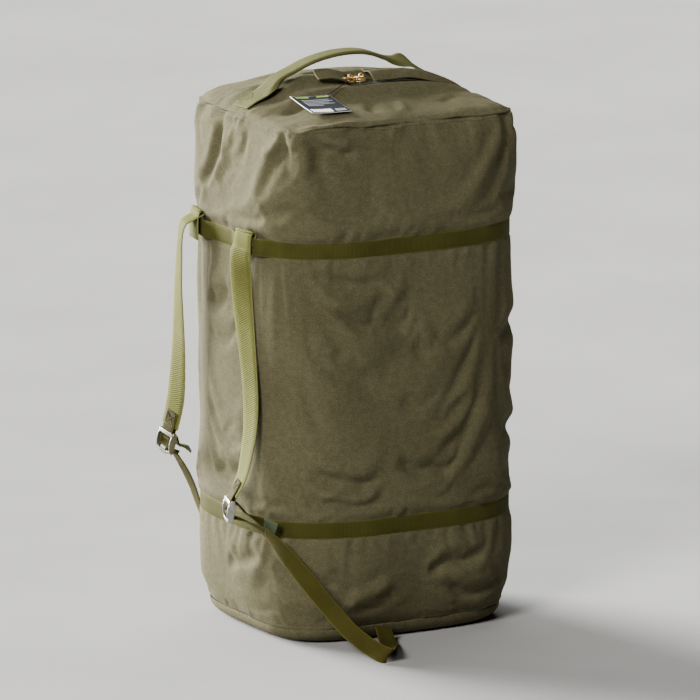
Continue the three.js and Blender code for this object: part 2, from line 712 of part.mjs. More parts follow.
add("body_wrap", bodyWrap(), CANVAS_OLIVE, 0.85);
add("top_panel", topPanel(), CANVAS_OLIVE, 0.85);
add("bottom_panel", bottomPanel(), CANVAS_OLIVE, 0.85);
add("storm_flap", stormFlap(), CANVAS_OLIVE, 0.85);
add("zip_tongue", zipTongue(), CANVAS_OLIVE, 0.85);

add("zip_tape_front", zipStrip(-TAPE_OUTER, -TEETH - GAP, -0.6, 0.6), ZIP_DARK, 0.8);
add("zip_tape_back", zipStrip(TEETH + GAP, TAPE_OUTER, -0.6, 0.6), ZIP_DARK, 0.8);
add("zip_chain", zipStrip(-TEETH, TEETH, -1.4, 1.6), ZIP_DARK, 0.5);

for (const [name, x] of Object.entries(SLIDER_X)) {
  const place = new THREE.Group();
  place.position.set(x, 0, ZIP_HEIGHT);
  bag.add(place);
  add(name, slider(), BRASS, 0.3, 1, place);
  const lock = add(name.replace("slider", "pull"), pull(), BRASS, 0.3, 1, place);
  lock.position.z = PULL_LIFT;
}

for (const [name, height] of Object.entries(BAND_HEIGHTS)) {
  add(name, band(height, name === "upper_band"), WEBBING_OLIVE, 0.7);
}
for (const end of ["left", "right"]) add(`handle_end_${end}`, handleEnd(end), WEBBING_OLIVE, 0.7);
add("handle_grip", handleGrip(), WEBBING_OLIVE, 0.7);

for (const set of ["near", "far"]) {
  add(`strap_tab_${set}`, strapTab(set), WEBBING_OLIVE, 0.7);
  add(`shoulder_strap_${set}`, ribbon(strapKeys(set), WIDE, WEBBING, 44), WEBBING_OLIVE, 0.7);
  add(`buckle_loop_${set}`, buckleLoop(set), WEBBING_OLIVE, 0.7);
  const place = new THREE.Group();
  place.matrixAutoUpdate = false;
  place.matrix.copy(buckleMatrix(set));
  bag.add(place);
  add(`buckle_${set}`, buckle(), STEEL, 0.35, 1, place);
  add(`lower_strap_${set}`, lowerStrap(set), WEBBING_OLIVE, 0.7);
}

const tagPlace = new THREE.Group();
tagPlace.matrixAutoUpdate = false;
tagPlace.matrix.copy(tagMatrix());
bag.add(tagPlace);
add("hang_tag", hangTag(), TAG_NAVY, 0.4, 0, tagPlace);
add("tag_string", tagString(), STRING_BLACK, 0.7);

export default bag;
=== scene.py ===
import json
import math

import bpy
import numpy as np
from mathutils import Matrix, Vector


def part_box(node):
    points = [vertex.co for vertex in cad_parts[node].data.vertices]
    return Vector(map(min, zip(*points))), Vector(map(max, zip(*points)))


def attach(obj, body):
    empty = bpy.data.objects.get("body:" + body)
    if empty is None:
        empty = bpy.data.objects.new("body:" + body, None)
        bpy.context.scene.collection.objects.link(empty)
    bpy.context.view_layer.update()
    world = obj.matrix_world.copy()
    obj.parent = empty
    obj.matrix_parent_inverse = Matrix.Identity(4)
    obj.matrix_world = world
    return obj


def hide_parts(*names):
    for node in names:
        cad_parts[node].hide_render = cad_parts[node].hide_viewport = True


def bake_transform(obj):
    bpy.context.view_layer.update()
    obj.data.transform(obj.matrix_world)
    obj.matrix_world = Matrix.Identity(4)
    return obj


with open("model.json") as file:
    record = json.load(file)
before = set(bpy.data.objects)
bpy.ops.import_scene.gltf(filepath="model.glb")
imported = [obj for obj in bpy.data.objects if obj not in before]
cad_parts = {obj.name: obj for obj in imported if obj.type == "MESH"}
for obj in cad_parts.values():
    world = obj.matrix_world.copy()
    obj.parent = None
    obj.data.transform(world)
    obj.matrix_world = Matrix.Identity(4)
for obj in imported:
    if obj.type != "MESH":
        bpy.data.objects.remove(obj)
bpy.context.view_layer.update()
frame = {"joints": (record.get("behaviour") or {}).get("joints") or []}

MM = 0.001  # the lengths below are in millimetres
JOINTS = {joint["name"]: joint for joint in frame["joints"]}

# ------------------------------------------------------------------ sizes, from the frame


def span(node):
    """Lowest and highest corner of a CAD node, in millimetres."""
    low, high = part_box(node)
    return np.array(low) / MM, np.array(high) / MM


WALL_LOW, WALL_HIGH = span("body_wrap")
HALF_X = WALL_HIGH[0]
HALF_Y = WALL_HIGH[1]
BOTTOM_SEAM = WALL_LOW[2]
TOP_SEAM = WALL_HIGH[2]
BAND = {name: float(np.mean([corner[2] for corner in span(name)])) for name in ("lower_band", "upper_band")}
ZIP_HEIGHT = span("zip_chain")[1][2] - 1.6
SLOT = 18.0  # half width of the opening that the zip closes
WIDE = 38.0  # webbing of the shoulder straps and the handle
NARROW = 25.0  # webbing of the bands and the lower straps


def pivot(joint):
    """A joint's place and axis, in millimetres."""
    return np.array(JOINTS[joint]["pos_m"]) / MM, np.array(JOINTS[joint]["axis"], float)


# ------------------------------------------------------------------ general helpers


def smooth(t):
    t = np.clip(t, 0, 1)
    return t * t * (3 - 2 * t)


def mix(a, b, t):
    return a + (b - a) * t


def unit(v):
    return v / np.maximum(np.linalg.norm(v, axis=-1, keepdims=True), 1e-9)


def hill(x, width):
    """A smooth bump, 1 at 0 and falling away over the width."""
    return np.exp(-((x / width) ** 2))


def wander(x, seed, octaves=2):
    """A smooth random line of about +-1 with features about 1 long."""
    total = 0.0
    for k in range(octaves):
        cell = np.floor(x * 2**k)
        part = smooth(x * 2**k - cell)
        left = np.sin(cell * 127.1 + seed * 311.7 + k * 74.7) * 43758.5453
        right = np.sin((cell + 1) * 127.1 + seed * 311.7 + k * 74.7) * 43758.5453
        total = total + mix(left % 1 * 2 - 1, right % 1 * 2 - 1, part) / 2**k
    return total


def ripple(x, y, seed):
    """A smooth random field of about +-1 with features about 1 across."""
    fx, fy = np.floor(x), np.floor(y)
    tx, ty = smooth(x - fx), smooth(y - fy)

    def corner(i, j):
        return (np.sin((fx + i) * 127.1 + (fy + j) * 269.5 + seed * 91.3) * 43758.5453) % 1 * 2 - 1

    low = mix(corner(0, 0), corner(1, 0), tx)
    high = mix(corner(0, 1), corner(1, 1), tx)
    return mix(low, high, ty)


def spline(keys, count):
    """Evenly spaced rows along a smooth curve through the key rows. The first three columns are the place."""
    keys = np.asarray(keys, float)
    rows = np.vstack([2 * keys[0] - keys[1], keys, 2 * keys[-1] - keys[-2]])
    knots = np.concatenate([[0], np.cumsum(np.linalg.norm(np.diff(rows[:, :3], axis=0), axis=1) ** 0.5)])
    found = []
    for i in range(1, len(rows) - 2):
        t = np.linspace(knots[i], knots[i + 1], 20, endpoint=False)[:, None]
        level = [rows[i - 1 + k] + 0 * t for k in range(4)]
        times = knots[i - 1 : i + 3]
        for depth in (1, 2, 3):
            level = [
                mix(level[k], level[k + 1], (t - times[k]) / (times[k + depth] - times[k]))
                for k in range(4 - depth)
            ]
        found.append(level[0])
    found.append(rows[-2][None, :])
    dense = np.vstack(found)
    along = np.concatenate([[0], np.cumsum(np.linalg.norm(np.diff(dense[:, :3], axis=0), axis=1))])
    where = np.linspace(0, along[-1], count)
    return np.stack([np.interp(where, along, dense[:, k]) for k in range(dense.shape[1])], axis=1)


def lengths(points):
    """Distance along a row of places."""
    return np.concatenate([[0], np.cumsum(np.linalg.norm(np.diff(points, axis=0), axis=1))])


def make(name, points, faces, material, body=None, lay=None, replaces=(), smooth_shade=True):
    """A mesh object from points in millimetres. lay is each point's place on the flat cloth."""
    mesh = bpy.data.meshes.new(name)
    mesh.from_pydata((np.asarray(points) * MM).tolist(), [], faces)
    mesh.update()
    if lay is not None:
        store = mesh.attributes.new("lay", "FLOAT_VECTOR", "POINT")
        store.data.foreach_set("vector", np.asarray(lay, np.float32).ravel())
    mesh.polygons.foreach_set("use_smooth", [smooth_shade] * len(mesh.polygons))
    mesh.materials.append(material)
    thing = bpy.data.objects.new(name, mesh)
    bpy.context.scene.collection.objects.link(thing)
    if body:
        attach(thing, body)
    for node in replaces:
        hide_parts(node)
    return thing


def grid_faces(rows, columns, ring=False, flip=False, start=0):
    """Faces of a grid of points stored row by row. A ring joins its last row to its first."""
    faces = []
    for i in range(rows if ring else rows - 1):
        for j in range(columns - 1):
            a = start + i * columns + j
            b = start + (i + 1) % rows * columns + j
            face = (a, b, b + 1, a + 1)
            faces.append(face[::-1] if flip else face)
    return faces


def shell(outer, thickness, normals, ring=False):
    """Points and faces of a cloth of the given thickness below a grid of outer points."""
    rows, columns = outer.shape[:2]
    inner = outer - normals * thickness
    count = rows * columns
    points = np.vstack([outer.reshape(-1, 3), inner.reshape(-1, 3)])
    faces = grid_faces(rows, columns, ring) + grid_faces(rows, columns, ring, True, count)
    rim = []
    for i in range(rows if ring else rows - 1):
        a, b = i * columns, (i + 1) % rows * columns
        rim.append((b, a, a + count, b + count))
        rim.append((a + columns - 1, b + columns - 1, b + columns - 1 + count, a + columns - 1 + count))
    if not ring:
        for j in range(columns - 1):
            last = (rows - 1) * columns + j
            rim.append((j, j + 1, j + 1 + count, j + count))
            rim.append((last + 1, last, last + count, last + 1 + count))
    return points, faces + rim


def flat_places(along, across):
    """Each point's place on the flat cloth, for both faces of a shell."""
    lay = np.stack([along, across, 0 * across], axis=-1).reshape(-1, 3)
    return np.vstack([lay, lay])


def grid_normals(points, ring=False):
    """Unit normals of a grid of points; a ring wraps round from its last row to its first."""
    if ring:
        down = np.roll(points, -1, axis=0) - np.roll(points, 1, axis=0)
    else:
        down = np.gradient(points, axis=0)
    return unit(np.cross(down, np.gradient(points, axis=1)))


# ------------------------------------------------------------------ materials


class Shader:
    """A small helper that adds and joins shader nodes."""

    def __init__(self, name, roughness, metallic=0.0):
        self.material = bpy.data.materials.new(name)
        self.material.use_nodes = True
        self.tree = self.material.node_tree
        self.surface = self.tree.nodes["Principled BSDF"]
        self.surface.inputs["Roughness"].default_value = roughness
        self.surface.inputs["Metallic"].default_value = metallic

    def node(self, kind, settings=None, **inputs):
        made = self.tree.nodes.new(kind)
        for key, value in (settings or {}).items():
            setattr(made, key, value)
        for key, value in inputs.items():
            self.put(made.inputs[key.replace("_", " ")], value)
        return made

    def put(self, socket, value):
        if isinstance(value, bpy.types.NodeSocket):
            self.tree.links.new(value, socket)
        else:
            socket.default_value = value

    def math(self, operation, a, b=0.0, c=0.0):
        made = self.node("ShaderNodeMath", {"operation": operation})
        for socket, value in zip(made.inputs, (a, b, c)):
            self.put(socket, value)
        return made.outputs[0]

    def lay(self):
        """Place on the flat cloth, in millimetres, and its parts along and across."""
        attribute = self.node("ShaderNodeAttribute", {"attribute_name": "lay"})
        split = self.node("ShaderNodeSeparateXYZ", Vector=attribute.outputs["Vector"])
        return attribute.outputs["Vector"], split.outputs[0], split.outputs[1]

    def noise(self, vector, scale, detail=3.0, roughness=0.5):
        made = self.node("ShaderNodeTexNoise", Vector=vector, Scale=scale, Detail=detail, Roughness=roughness)
        return made.outputs["Fac"]

    def place(self):
        return self.node("ShaderNodeTexCoord").outputs["Object"]

    def blend(self, share, a, b):
        made = self.node("ShaderNodeMix", {"data_type": "RGBA"})
        for socket, value in ((made.inputs[0], share), (made.inputs[6], a), (made.inputs[7], b)):
            self.put(socket, value)
        return made.outputs[2]

    def span(self, value, low, high, to_low=0.0, to_high=1.0):
        made = self.node("ShaderNodeMapRange")
        for socket, item in zip(made.inputs, (value, low, high, to_low, to_high)):
            self.put(socket, item)
        return made.outputs[0]

    def bump(self, height, strength, distance, normal=None):
        made = self.node("ShaderNodeBump", Height=height, Strength=strength, Distance=distance)
        if normal is not None:
            self.put(made.inputs["Normal"], normal)
        return made.outputs[0]

    def finish(self, color, normal=None, roughness=None, sheen=0.0, specular=0.5):
        self.put(self.surface.inputs["Base Color"], color)
        if normal is not None:
            self.put(self.surface.inputs["Normal"], normal)
        if roughness is not None:
            self.put(self.surface.inputs["Roughness"], roughness)
        self.surface.inputs["Sheen Weight"].default_value = sheen
        self.surface.inputs["Sheen Roughness"].default_value = 0.5
        self.surface.inputs["Sheen Tint"].default_value = (0.30, 0.27, 0.14, 1)
        self.surface.inputs["Specular IOR Level"].default_value = specular
        return self.material


def weave(shader, along, across, pitch):
    """Height of a plain weave: threads that pass over and under each other."""
    turn = 2 * math.pi / pitch
    warp = shader.math("SINE", shader.math("MULTIPLY", along, turn))
    weft = shader.math("SINE", shader.math("MULTIPLY", across, turn))
    return shader.math("MULTIPLY", warp, weft)


def canvas_material():
    shader = Shader("canvas", 0.86)
    lay, along, across = shader.lay()
    place = shader.place()
    tone = shader.noise(place, 9.0, 4.0, 0.6)
    fine = shader.noise(lay, 0.55, 4.0, 0.75)
    slub = shader.noise(lay, 0.12, 3.0, 0.6)
    low, high = (0.080, 0.0735, 0.039, 1), (0.104, 0.0965, 0.054, 1)
    dark, light, painted_ridge_highlight = (0.048, 0.043, 0.021, 1), (0.175, 0.163, 0.100, 1), (0.180, 0.168, 0.105, 1)
    color = shader.blend(shader.span(tone, 0.35, 0.65), low, high)
    color = shader.blend(shader.span(fine, 0.36, 0.5, 0.6, 0.0), color, dark)
    color = shader.blend(shader.span(fine, 0.5, 0.66, 0.0, 0.6), color, light)
    color = shader.blend(shader.span(slub, 0.35, 0.65, 0.38, 0.0), color, dark)
    # Painted highlight: the canvas is paler on its sharpest ridges and seams.
    ridge_pointiness = shader.node("ShaderNodeNewGeometry").outputs["Pointiness"]
    color = shader.blend(shader.span(ridge_pointiness, 0.53, 0.60, 0.0, 0.35), color, painted_ridge_highlight)
    rough = shader.bump(weave(shader, along, across, 1.3), 0.25, 0.0003)
    rough = shader.bump(fine, 0.30, 0.0006, rough)
    return shader.finish(color, rough, shader.span(tone, 0.3, 0.7, 0.82, 0.92), 0.03, 0.05)


def webbing_material(name, rib, tone_low, tone_high, edge, half_width, slant=0.0, painted_groove_shade=0.45):
    """Woven webbing with ribs across it, painted shade in the grooves between the ribs, closer threads along
    it and paler bound edges.
    """
    shader = Shader(name, 0.62)
    lay, along, across = shader.lay()
    leaning = shader.math("MULTIPLY_ADD", across, slant, along)
    ribs = shader.math("SINE", shader.math("MULTIPLY", leaning, 2 * math.pi / rib))
    cords = shader.math("SINE", shader.math("MULTIPLY", across, 2 * math.pi / 1.5))
    tone = shader.noise(shader.place(), 14.0, 3.0, 0.6)
    fine = shader.noise(lay, 0.9, 3.0, 0.7)
    color = shader.blend(shader.span(tone, 0.3, 0.7), tone_low, tone_high)
    # Painted shade: the grooves between the ribs are darkened.
    color = shader.blend(shader.span(ribs, -1.0, -0.2, painted_groove_shade, 0.0), color, (0.016, 0.015, 0.003, 1))
    color = shader.blend(shader.span(fine, 0.35, 0.65, 0.25, 0.0), color, tone_low)
    rim = shader.math("ABSOLUTE", across)
    color = shader.blend(shader.span(rim, half_width - 1.8, half_width - 0.6, 0.0, 0.6), color, edge)
    height = shader.math("ADD", shader.math("MULTIPLY", ribs, 0.6), shader.math("MULTIPLY", cords, 0.25))
    normal = shader.bump(height, 0.5, 0.0005)
    normal = shader.bump(fine, 0.2, 0.0003, normal)
    return shader.finish(color, normal, shader.span(fine, 0.3, 0.7, 0.68, 0.84), 0.01, 0.05)


def thread_material(name, color, shine=0.6):
    shader = Shader(name, shine)
    twist = shader.noise(shader.place(), 900.0, 2.0, 0.5)
    tint = tuple(c * 0.6 for c in color[:3]) + (1,)
    mixed = shader.blend(shader.span(twist, 0.3, 0.7), tint, color)
    return shader.finish(mixed, shader.bump(twist, 0.3, 0.0002), specular=0.2)


def tape_material():
    """Herringbone zip tape."""
    shader = Shader("zip_tape", 0.8)
    lay, along, across = shader.lay()
    slant = shader.math("ADD", along, shader.math("PINGPONG", across, 3.0))
    twill = shader.math("SINE", shader.math("MULTIPLY", slant, 2 * math.pi / 1.2))
    fine = shader.noise(lay, 1.2, 3.0, 0.6)
    color = shader.blend(shader.span(twill, -1, 1), (0.014, 0.013, 0.006, 1), (0.034, 0.031, 0.015, 1))
    return shader.finish(color, shader.bump(twill, 0.4, 0.0003), shader.span(fine, 0.3, 0.7, 0.7, 0.9))


def metal_material(name, color, dull, roughness, painted_hollow_shade):
    shader = Shader(name, roughness, 1.0)
    place = shader.place()
    patch = shader.noise(place, 90.0, 4.0, 0.6)
    grain = shader.noise(place, 900.0, 2.0, 0.5)
    tinted = shader.blend(shader.span(patch, 0.35, 0.65), color, dull)
    # Painted shade: the metal is darker in its hollows.
    hollow = shader.node("ShaderNodeNewGeometry").outputs["Pointiness"]
    tinted = shader.blend(shader.span(hollow, 0.42, 0.49, 0.55, 0.0), tinted, painted_hollow_shade)
    rough = shader.span(patch, 0.3, 0.7, roughness, roughness + 0.18)
    return shader.finish(tinted, shader.bump(grain, 0.12, 0.0002), rough)


def plastic_material(name, color, roughness, grain=400.0):
    shader = Shader(name, roughness)
    speck = shader.noise(shader.place(), grain, 3.0, 0.6)
    lighter = tuple(min(1.0, c * 1.35 + 0.004) for c in color[:3]) + (1,)
    tinted = shader.blend(shader.span(speck, 0.35, 0.65), color, lighter)
    rough = shader.span(speck, 0.3, 0.7, roughness, roughness + 0.12)
    return shader.finish(tinted, shader.bump(speck, 0.1, 0.0002), rough, specular=0.2)


CANVAS = canvas_material()
OLIVE_LOW, OLIVE_HIGH = (0.044, 0.0425, 0.0085, 1), (0.068, 0.0655, 0.0150, 1)
PALE_LOW, PALE_HIGH = (0.104, 0.107, 0.025, 1), (0.150, 0.154, 0.041, 1)
BAND_RIB = (0.105, 0.100, 0.020, 1)
BAND_WEBBING = webbing_material("webbing_band", 2.0, OLIVE_LOW, OLIVE_HIGH, BAND_RIB, NARROW / 2)
STRAP_WEBBING = webbing_material("webbing_strap", 3.2, PALE_LOW, PALE_HIGH, (0.22, 0.22, 0.08, 1), WIDE / 2,
                                 slant=0.4, painted_groove_shade=0.62)
HANDLE_WEBBING = webbing_material("webbing_handle", 2.2, (0.094, 0.096, 0.034, 1), (0.140, 0.142, 0.055, 1),
                                  (0.180, 0.180, 0.082, 1), WIDE / 2)
LOWER_WEBBING = webbing_material("webbing_lower", 2.4, (0.038, 0.034, 0.0065, 1), (0.060, 0.055, 0.0110, 1),
                                 (0.100, 0.091, 0.020, 1), NARROW / 2)
HEM_WEBBING = webbing_material("webbing_hem", 2.4, (0.055, 0.074, 0.042, 1), (0.085, 0.108, 0.064, 1),
                               (0.09, 0.11, 0.06, 1), NARROW / 2)
LIGHT_THREAD = thread_material("thread_light", (0.21, 0.20, 0.11, 1))
DARK_THREAD = thread_material("thread_dark", (0.040, 0.036, 0.018, 1))
ZIP_TAPE = tape_material()
ZIP_TEETH = plastic_material("zip_teeth", (0.030, 0.028, 0.015, 1), 0.35)
# The last colour of each metal is painted shade for its hollows.
BRASS = metal_material("brass", (0.83, 0.60, 0.24, 1), (0.62, 0.42, 0.16, 1), 0.24, (0.12, 0.07, 0.02, 1))
NICKEL = metal_material("steel", (0.42, 0.42, 0.38, 1), (0.28, 0.28, 0.24, 1), 0.26, (0.20, 0.19, 0.16, 1))
CARD = plastic_material("tag_card", (0.006, 0.008, 0.014, 1), 0.55, 150.0)
CARD_EDGE = plastic_material("tag_edge", (0.75, 0.75, 0.76, 1), 0.5)
CARD_GREEN = plastic_material("tag_green", (0.30, 0.52, 0.03, 1), 0.4)
CARD_GREY = plastic_material("tag_grey", (0.22, 0.23, 0.25, 1), 0.45)
CARD_WHITE = plastic_material("tag_white", (0.80, 0.80, 0.80, 1), 0.4)
STRING = thread_material("tag_string", (0.012, 0.012, 0.012, 1), 0.7)

# ------------------------------------------------------------------ the bag's form

# Key cross-sections: height, half width along X and half depth along Y as shares of the widest, squareness.
SECTIONS = np.array([
    [BOTTOM_SEAM, 0.892, 0.874, 4.2],
    [60, 0.953, 0.951, 3.8],
    [115, 0.990, 0.989, 3.4],
    [BAND["lower_band"], 0.995, 0.996, 3.3],
    [400, 1.0, 1.0, 3.25],
    [BAND["upper_band"], 0.995, 0.996, 3.3],
    [650, 0.990, 0.990, 3.6],
    [705, 0.958, 0.961, 4.4],
    [738, 0.927, 0.933, 6.0],
    [TOP_SEAM, 0.868, 0.874, 9.0],
])
CINCH = 5.0  # how far each band pulls the wall in


def section(height):
    return [np.interp(height, SECTIONS[:, 0], SECTIONS[:, k]) for k in (1, 2, 3)]


def superellipse(angle, width, depth, square):
    across = (np.abs(np.cos(angle)) / width) ** square
    return (across + (np.abs(np.sin(angle)) / depth) ** square) ** (-1 / square)


def facing(degrees):
    """Side of a strap whose face looks along -X, turned by an angle towards -Y."""
    a = math.radians(degrees)
    return (math.sin(a), -math.cos(a), 0.0)


# Each shoulder strap below its turn: x, y, z and the degrees that its face is turned.
STRAP_LINES = {
    "near": [
        (-221, -61, 574, 13), (-219.5, -60, 540, 23), (-217.5, -61, 502, 21), (-215, -67, 446, 14),
        (-213.5, -75, 385, 7), (-213.5, -78, 348, 5), (-215.5, -79, 311, 0), (-220, -78, 281, -4),
        (-229, -80, 247, -10), (-240.5, -75, 220, -14),
    ],
    "far": [
        (-231, 92, 588, -16), (-235, 94, 570, -20), (-236, 96, 541, -17), (-237, 98, 494, -13),
        (-235, 101, 414, -2), (-236.5, 108, 323, 11), (-241.5, 116, 283, 9),
    ],
}
# Distance round the wall at its widest, so that folds can be laid out in millimetres.
ROUND_ANGLES = np.linspace(0, 2 * math.pi, 2001)
ROUND_REACH = superellipse(ROUND_ANGLES, HALF_X, HALF_Y, 3.25)
ROUND_POINTS = np.stack([ROUND_REACH * np.cos(ROUND_ANGLES), ROUND_REACH * np.sin(ROUND_ANGLES)], axis=1)
ROUND_LENGTHS = lengths(ROUND_POINTS)
GIRTH = ROUND_LENGTHS[-1]


def round_at(degrees):
    """Distance round the wall from +X, anticlockwise, at a compass angle."""
    return float(np.interp(math.radians(degrees), ROUND_ANGLES, ROUND_LENGTHS))


def angle_at(distance):
    return np.interp(distance % GIRTH, ROUND_LENGTHS, ROUND_ANGLES)


LEFT_FRONT, RIGHT_FRONT, RIGHT_BACK, LEFT_BACK = (round_at(a) for a in (219, 321, 39, 141))
FRONT, LEFT, BACK = round_at(270), round_at(180), round_at(90)

# Folds of the wall: from (distance round, height) to (distance round, height), how far it bows, its half
# width and its depth. A ridge has a positive depth and a valley a negative one.
FOLDS = [
    # the big folds that fall from the near top corner
    (LEFT_FRONT + 4, 748, LEFT_FRONT + 92, 716, -8, 11, -4.4),
    (LEFT_FRONT - 2, 752, LEFT_FRONT + 18, 690, 6, 15, 3.2),
    (LEFT_FRONT - 10, 742, LEFT_FRONT - 46, 706, 6, 12, -1.7),
    (LEFT_FRONT - 24, 746, LEFT_FRONT - 66, 716, 4, 11, 1.6),
    # the long crease down the left face and the pleats beside it
    (LEFT - 44, 744, LEFT - 92, 640, 10, 11, -2.6),
    (LEFT - 92, 640, LEFT - 96, 590, 2, 10, -2.0),
    (LEFT - 22, 742, LEFT - 52, 650, 6, 12, 1.6),
    (LEFT + 34, 744, LEFT + 24, 700, 3, 10, -1.3),
    # broad folds across the front between the bands
    (LEFT_FRONT + 10, 548, LEFT_FRONT + 150, 528, -8, 14, -3.6),
    (LEFT_FRONT + 30, 500, LEFT_FRONT + 178, 516, 8, 13, 3.2),
    (LEFT_FRONT + 60, 482, LEFT_FRONT + 190, 470, -6, 15, -4.0),
    (LEFT_FRONT + 6, 420, LEFT_FRONT + 120, 380, 9, 17, -3.2),
    (FRONT - 20, 430, FRONT + 110, 462, -8, 16, -3.4),
    (FRONT - 40, 352, FRONT + 100, 330, 8, 18, -3.0),
    (LEFT_FRONT + 16, 262, LEFT_FRONT + 120, 236, -9, 12, -4.4),
    (LEFT_FRONT + 40, 232, LEFT_FRONT + 130, 216, 5, 11, 3.2),
    (FRONT - 30, 268, FRONT + 70, 246, -6, 12, -4.0),
    (FRONT + 30, 300, FRONT + 140, 322, 6, 14, 2.8),
    # the left face between the bands
    (LEFT - 60, 470, LEFT + 70, 500, 9, 18, -3.6),
    (LEFT - 70, 330, LEFT + 80, 300, -9, 19, -3.4),
    (LEFT - 30, 240, LEFT + 60, 230, 5, 13, -3.2),
    # below the lower band
    (FRONT + 20, 96, FRONT + 128, 112, 9, 12, -4.2),
    (FRONT + 60, 70, FRONT + 150, 58, -5, 11, -3.4),
    (LEFT_FRONT - 40, 118, LEFT_FRONT + 60, 92, -6, 15, -3.2),
    (LEFT_FRONT + 70, 60, LEFT_FRONT + 150, 84, 5, 13, 3.0),
    (LEFT - 10, 100, LEFT + 90, 120, 6, 14, -3.0),
    # the back and the zip side
    (BACK - 130, 520, BACK + 60, 500, 10, 17, -3.6),
    (BACK - 60, 380, BACK + 130, 410, -9, 19, -3.6),
    (BACK - 90, 260, BACK + 100, 250, 9, 15, -3.4),
    (BACK - 60, 730, BACK - 30, 640, 6, 12, -3.6),
    (BACK + 70, 735, BACK + 100, 670, -6, 12, -3.6),
    (BACK - 90, 100, BACK + 80, 90, 7, 14, -3.4),
    (RIGHT_FRONT - 10, 740, RIGHT_FRONT - 40, 680, 5, 10, -1.8),
    (RIGHT_FRONT + 14, 738, RIGHT_FRONT + 34, 660, 4, 11, -1.4),
    (RIGHT_FRONT - 30, 420, RIGHT_FRONT + 80, 450, 7, 16, -3.4),
    (RIGHT_FRONT - 20, 300, RIGHT_FRONT + 90, 280, -7, 15, -3.2),
    (RIGHT_BACK - 70, 480, RIGHT_BACK + 40, 450, 7, 16, -3.4),
    (RIGHT_BACK - 70, 300, RIGHT_BACK + 50, 330, -7, 17, -3.4),
    (RIGHT_BACK + 8, 745, RIGHT_BACK + 36, 690, 5, 11, -4.0),
    (LEFT_BACK - 8, 745, LEFT_BACK - 36, 690, 5, 11, -4.0),
]


FOLD_GAIN = 2.2  # all the folds above are this much deeper than written


def fold_height(distance, height, fold):
    """Height of one fold above the wall. Its section is a steep side and a gentle side."""
    s0, z0, s1, z1, bow, width, depth = fold
    along = np.array([s1 - s0, z1 - z0])
    size = np.linalg.norm(along)
    along = along / size
    ds, dz = distance - s0, height - z0
    t = (ds * along[0] + dz * along[1]) / size
    off = -ds * along[1] + dz * along[0] - bow * 4 * t * (1 - t)
    off = off + 3 * wander(t * size / 26 + s0, 5.3)
    beside = 0.42 * hill(off - 1.5 * width, width)
    body = hill(off, width) - beside - 0.30 * hill(off + 1.7 * width, width * 1.1)
    ends = smooth(t / 0.28 + 0.25) * smooth((1 - t) / 0.28 + 0.25)
    return FOLD_GAIN * depth * body * ends


def puckers(distance, edge, reach_down, pitch, size, seed):
    """Short wrinkles that stand across a seam and die away from it. edge is the distance from the seam."""
    drift = distance + 5 * wander(distance / 40, seed) + edge * 0.35 * wander(distance / 55, seed + 1)
    wave = wander(drift / pitch, seed + 2, 1) + 0.5 * wander(drift / (0.55 * pitch), seed + 3, 1)
    share = 0.35 + 0.65 * (0.5 + 0.5 * wander(distance / 70, seed + 4))
    long = reach_down * (0.6 + 0.8 * (0.5 + 0.5 * wander(distance / (2 * pitch), seed + 5, 1)))
    return size * share * wave * np.exp(-edge / long) * smooth(edge / 3.5)


def wall_folds(distance, height):
    """How far the wall stands out from its plain form."""
    out = 0.0
    for fold in FOLDS:
        near = (distance - fold[0] + GIRTH / 2) % GIRTH - GIRTH / 2 + fold[0]
        out = out + fold_height(near, height, fold)
    out = out + puckers(distance, np.maximum(TOP_SEAM - height, 0), 30, 17, 5.0, 41)
    out = out + puckers(distance, np.maximum(height - BOTTOM_SEAM, 0), 18, 13, 2.4, 53)
    out = out + 2.4 * ripple(distance / 95 + 3, height / 70, 7)
    out = out + 1.1 * ripple(distance / 38, height / 34 + 5, 19)
    for level in BAND.values():
        out = out * (1 - hill(height - level, 17) ** 0.5)
    for name, seed in (("lower_band", 11), ("upper_band", 23)):
        away = height - BAND[name]
        edge = np.maximum(np.abs(away) - NARROW / 2, 0)
        side = np.where(away > 0, 0.0, 3.7)
        out = out - CINCH * hill(away, 17) + puckers(distance, edge, 20, 14, 3.6, seed + side)
    return out


CORNERS = (219, 321, 39, 141)  # compass angles of the four upright edges
EAR = 2.4  # how far the corners of the top seam stand out
ZIP_END_SAG = 7.0  # how far the top seam sags where the zip crosses it


def seam_ears(angle, height):
    """The corners of the top seam stand out a little, like the corners of a pillow."""
    out = 0.0
    for corner in CORNERS:
        turn = (np.degrees(angle) - corner + 180) % 360 - 180
        out = out + EAR * hill(turn, 7.0) * np.exp(-np.maximum(TOP_SEAM - height, 0) / 12)
    return out


def seam_dip(angle):
    """The top seam is pinched down at its near corner, rises a little beside it and sags at the zip's end."""
    turn = (np.degrees(angle) - 219 + 180) % 360 - 180
    zip_end = (np.degrees(angle) + 180) % 360 - 180
    pinch = -4.0 * hill(turn, 4) + 5.0 * hill(turn - 14, 9)
    return pinch - ZIP_END_SAG * hill(zip_end, 36) + 1.2 * wander(np.degrees(angle) / 9, 3.1)


GROOVE = 3.0  # how far the cloth turns in at the seam round the top panel
STRAP_CLEAR = 1.9  # from the middle of the near strap to the canvas behind it
DRAPE = {}  # how far the cloth simulation moved the wall: its grid of distances, heights and moves


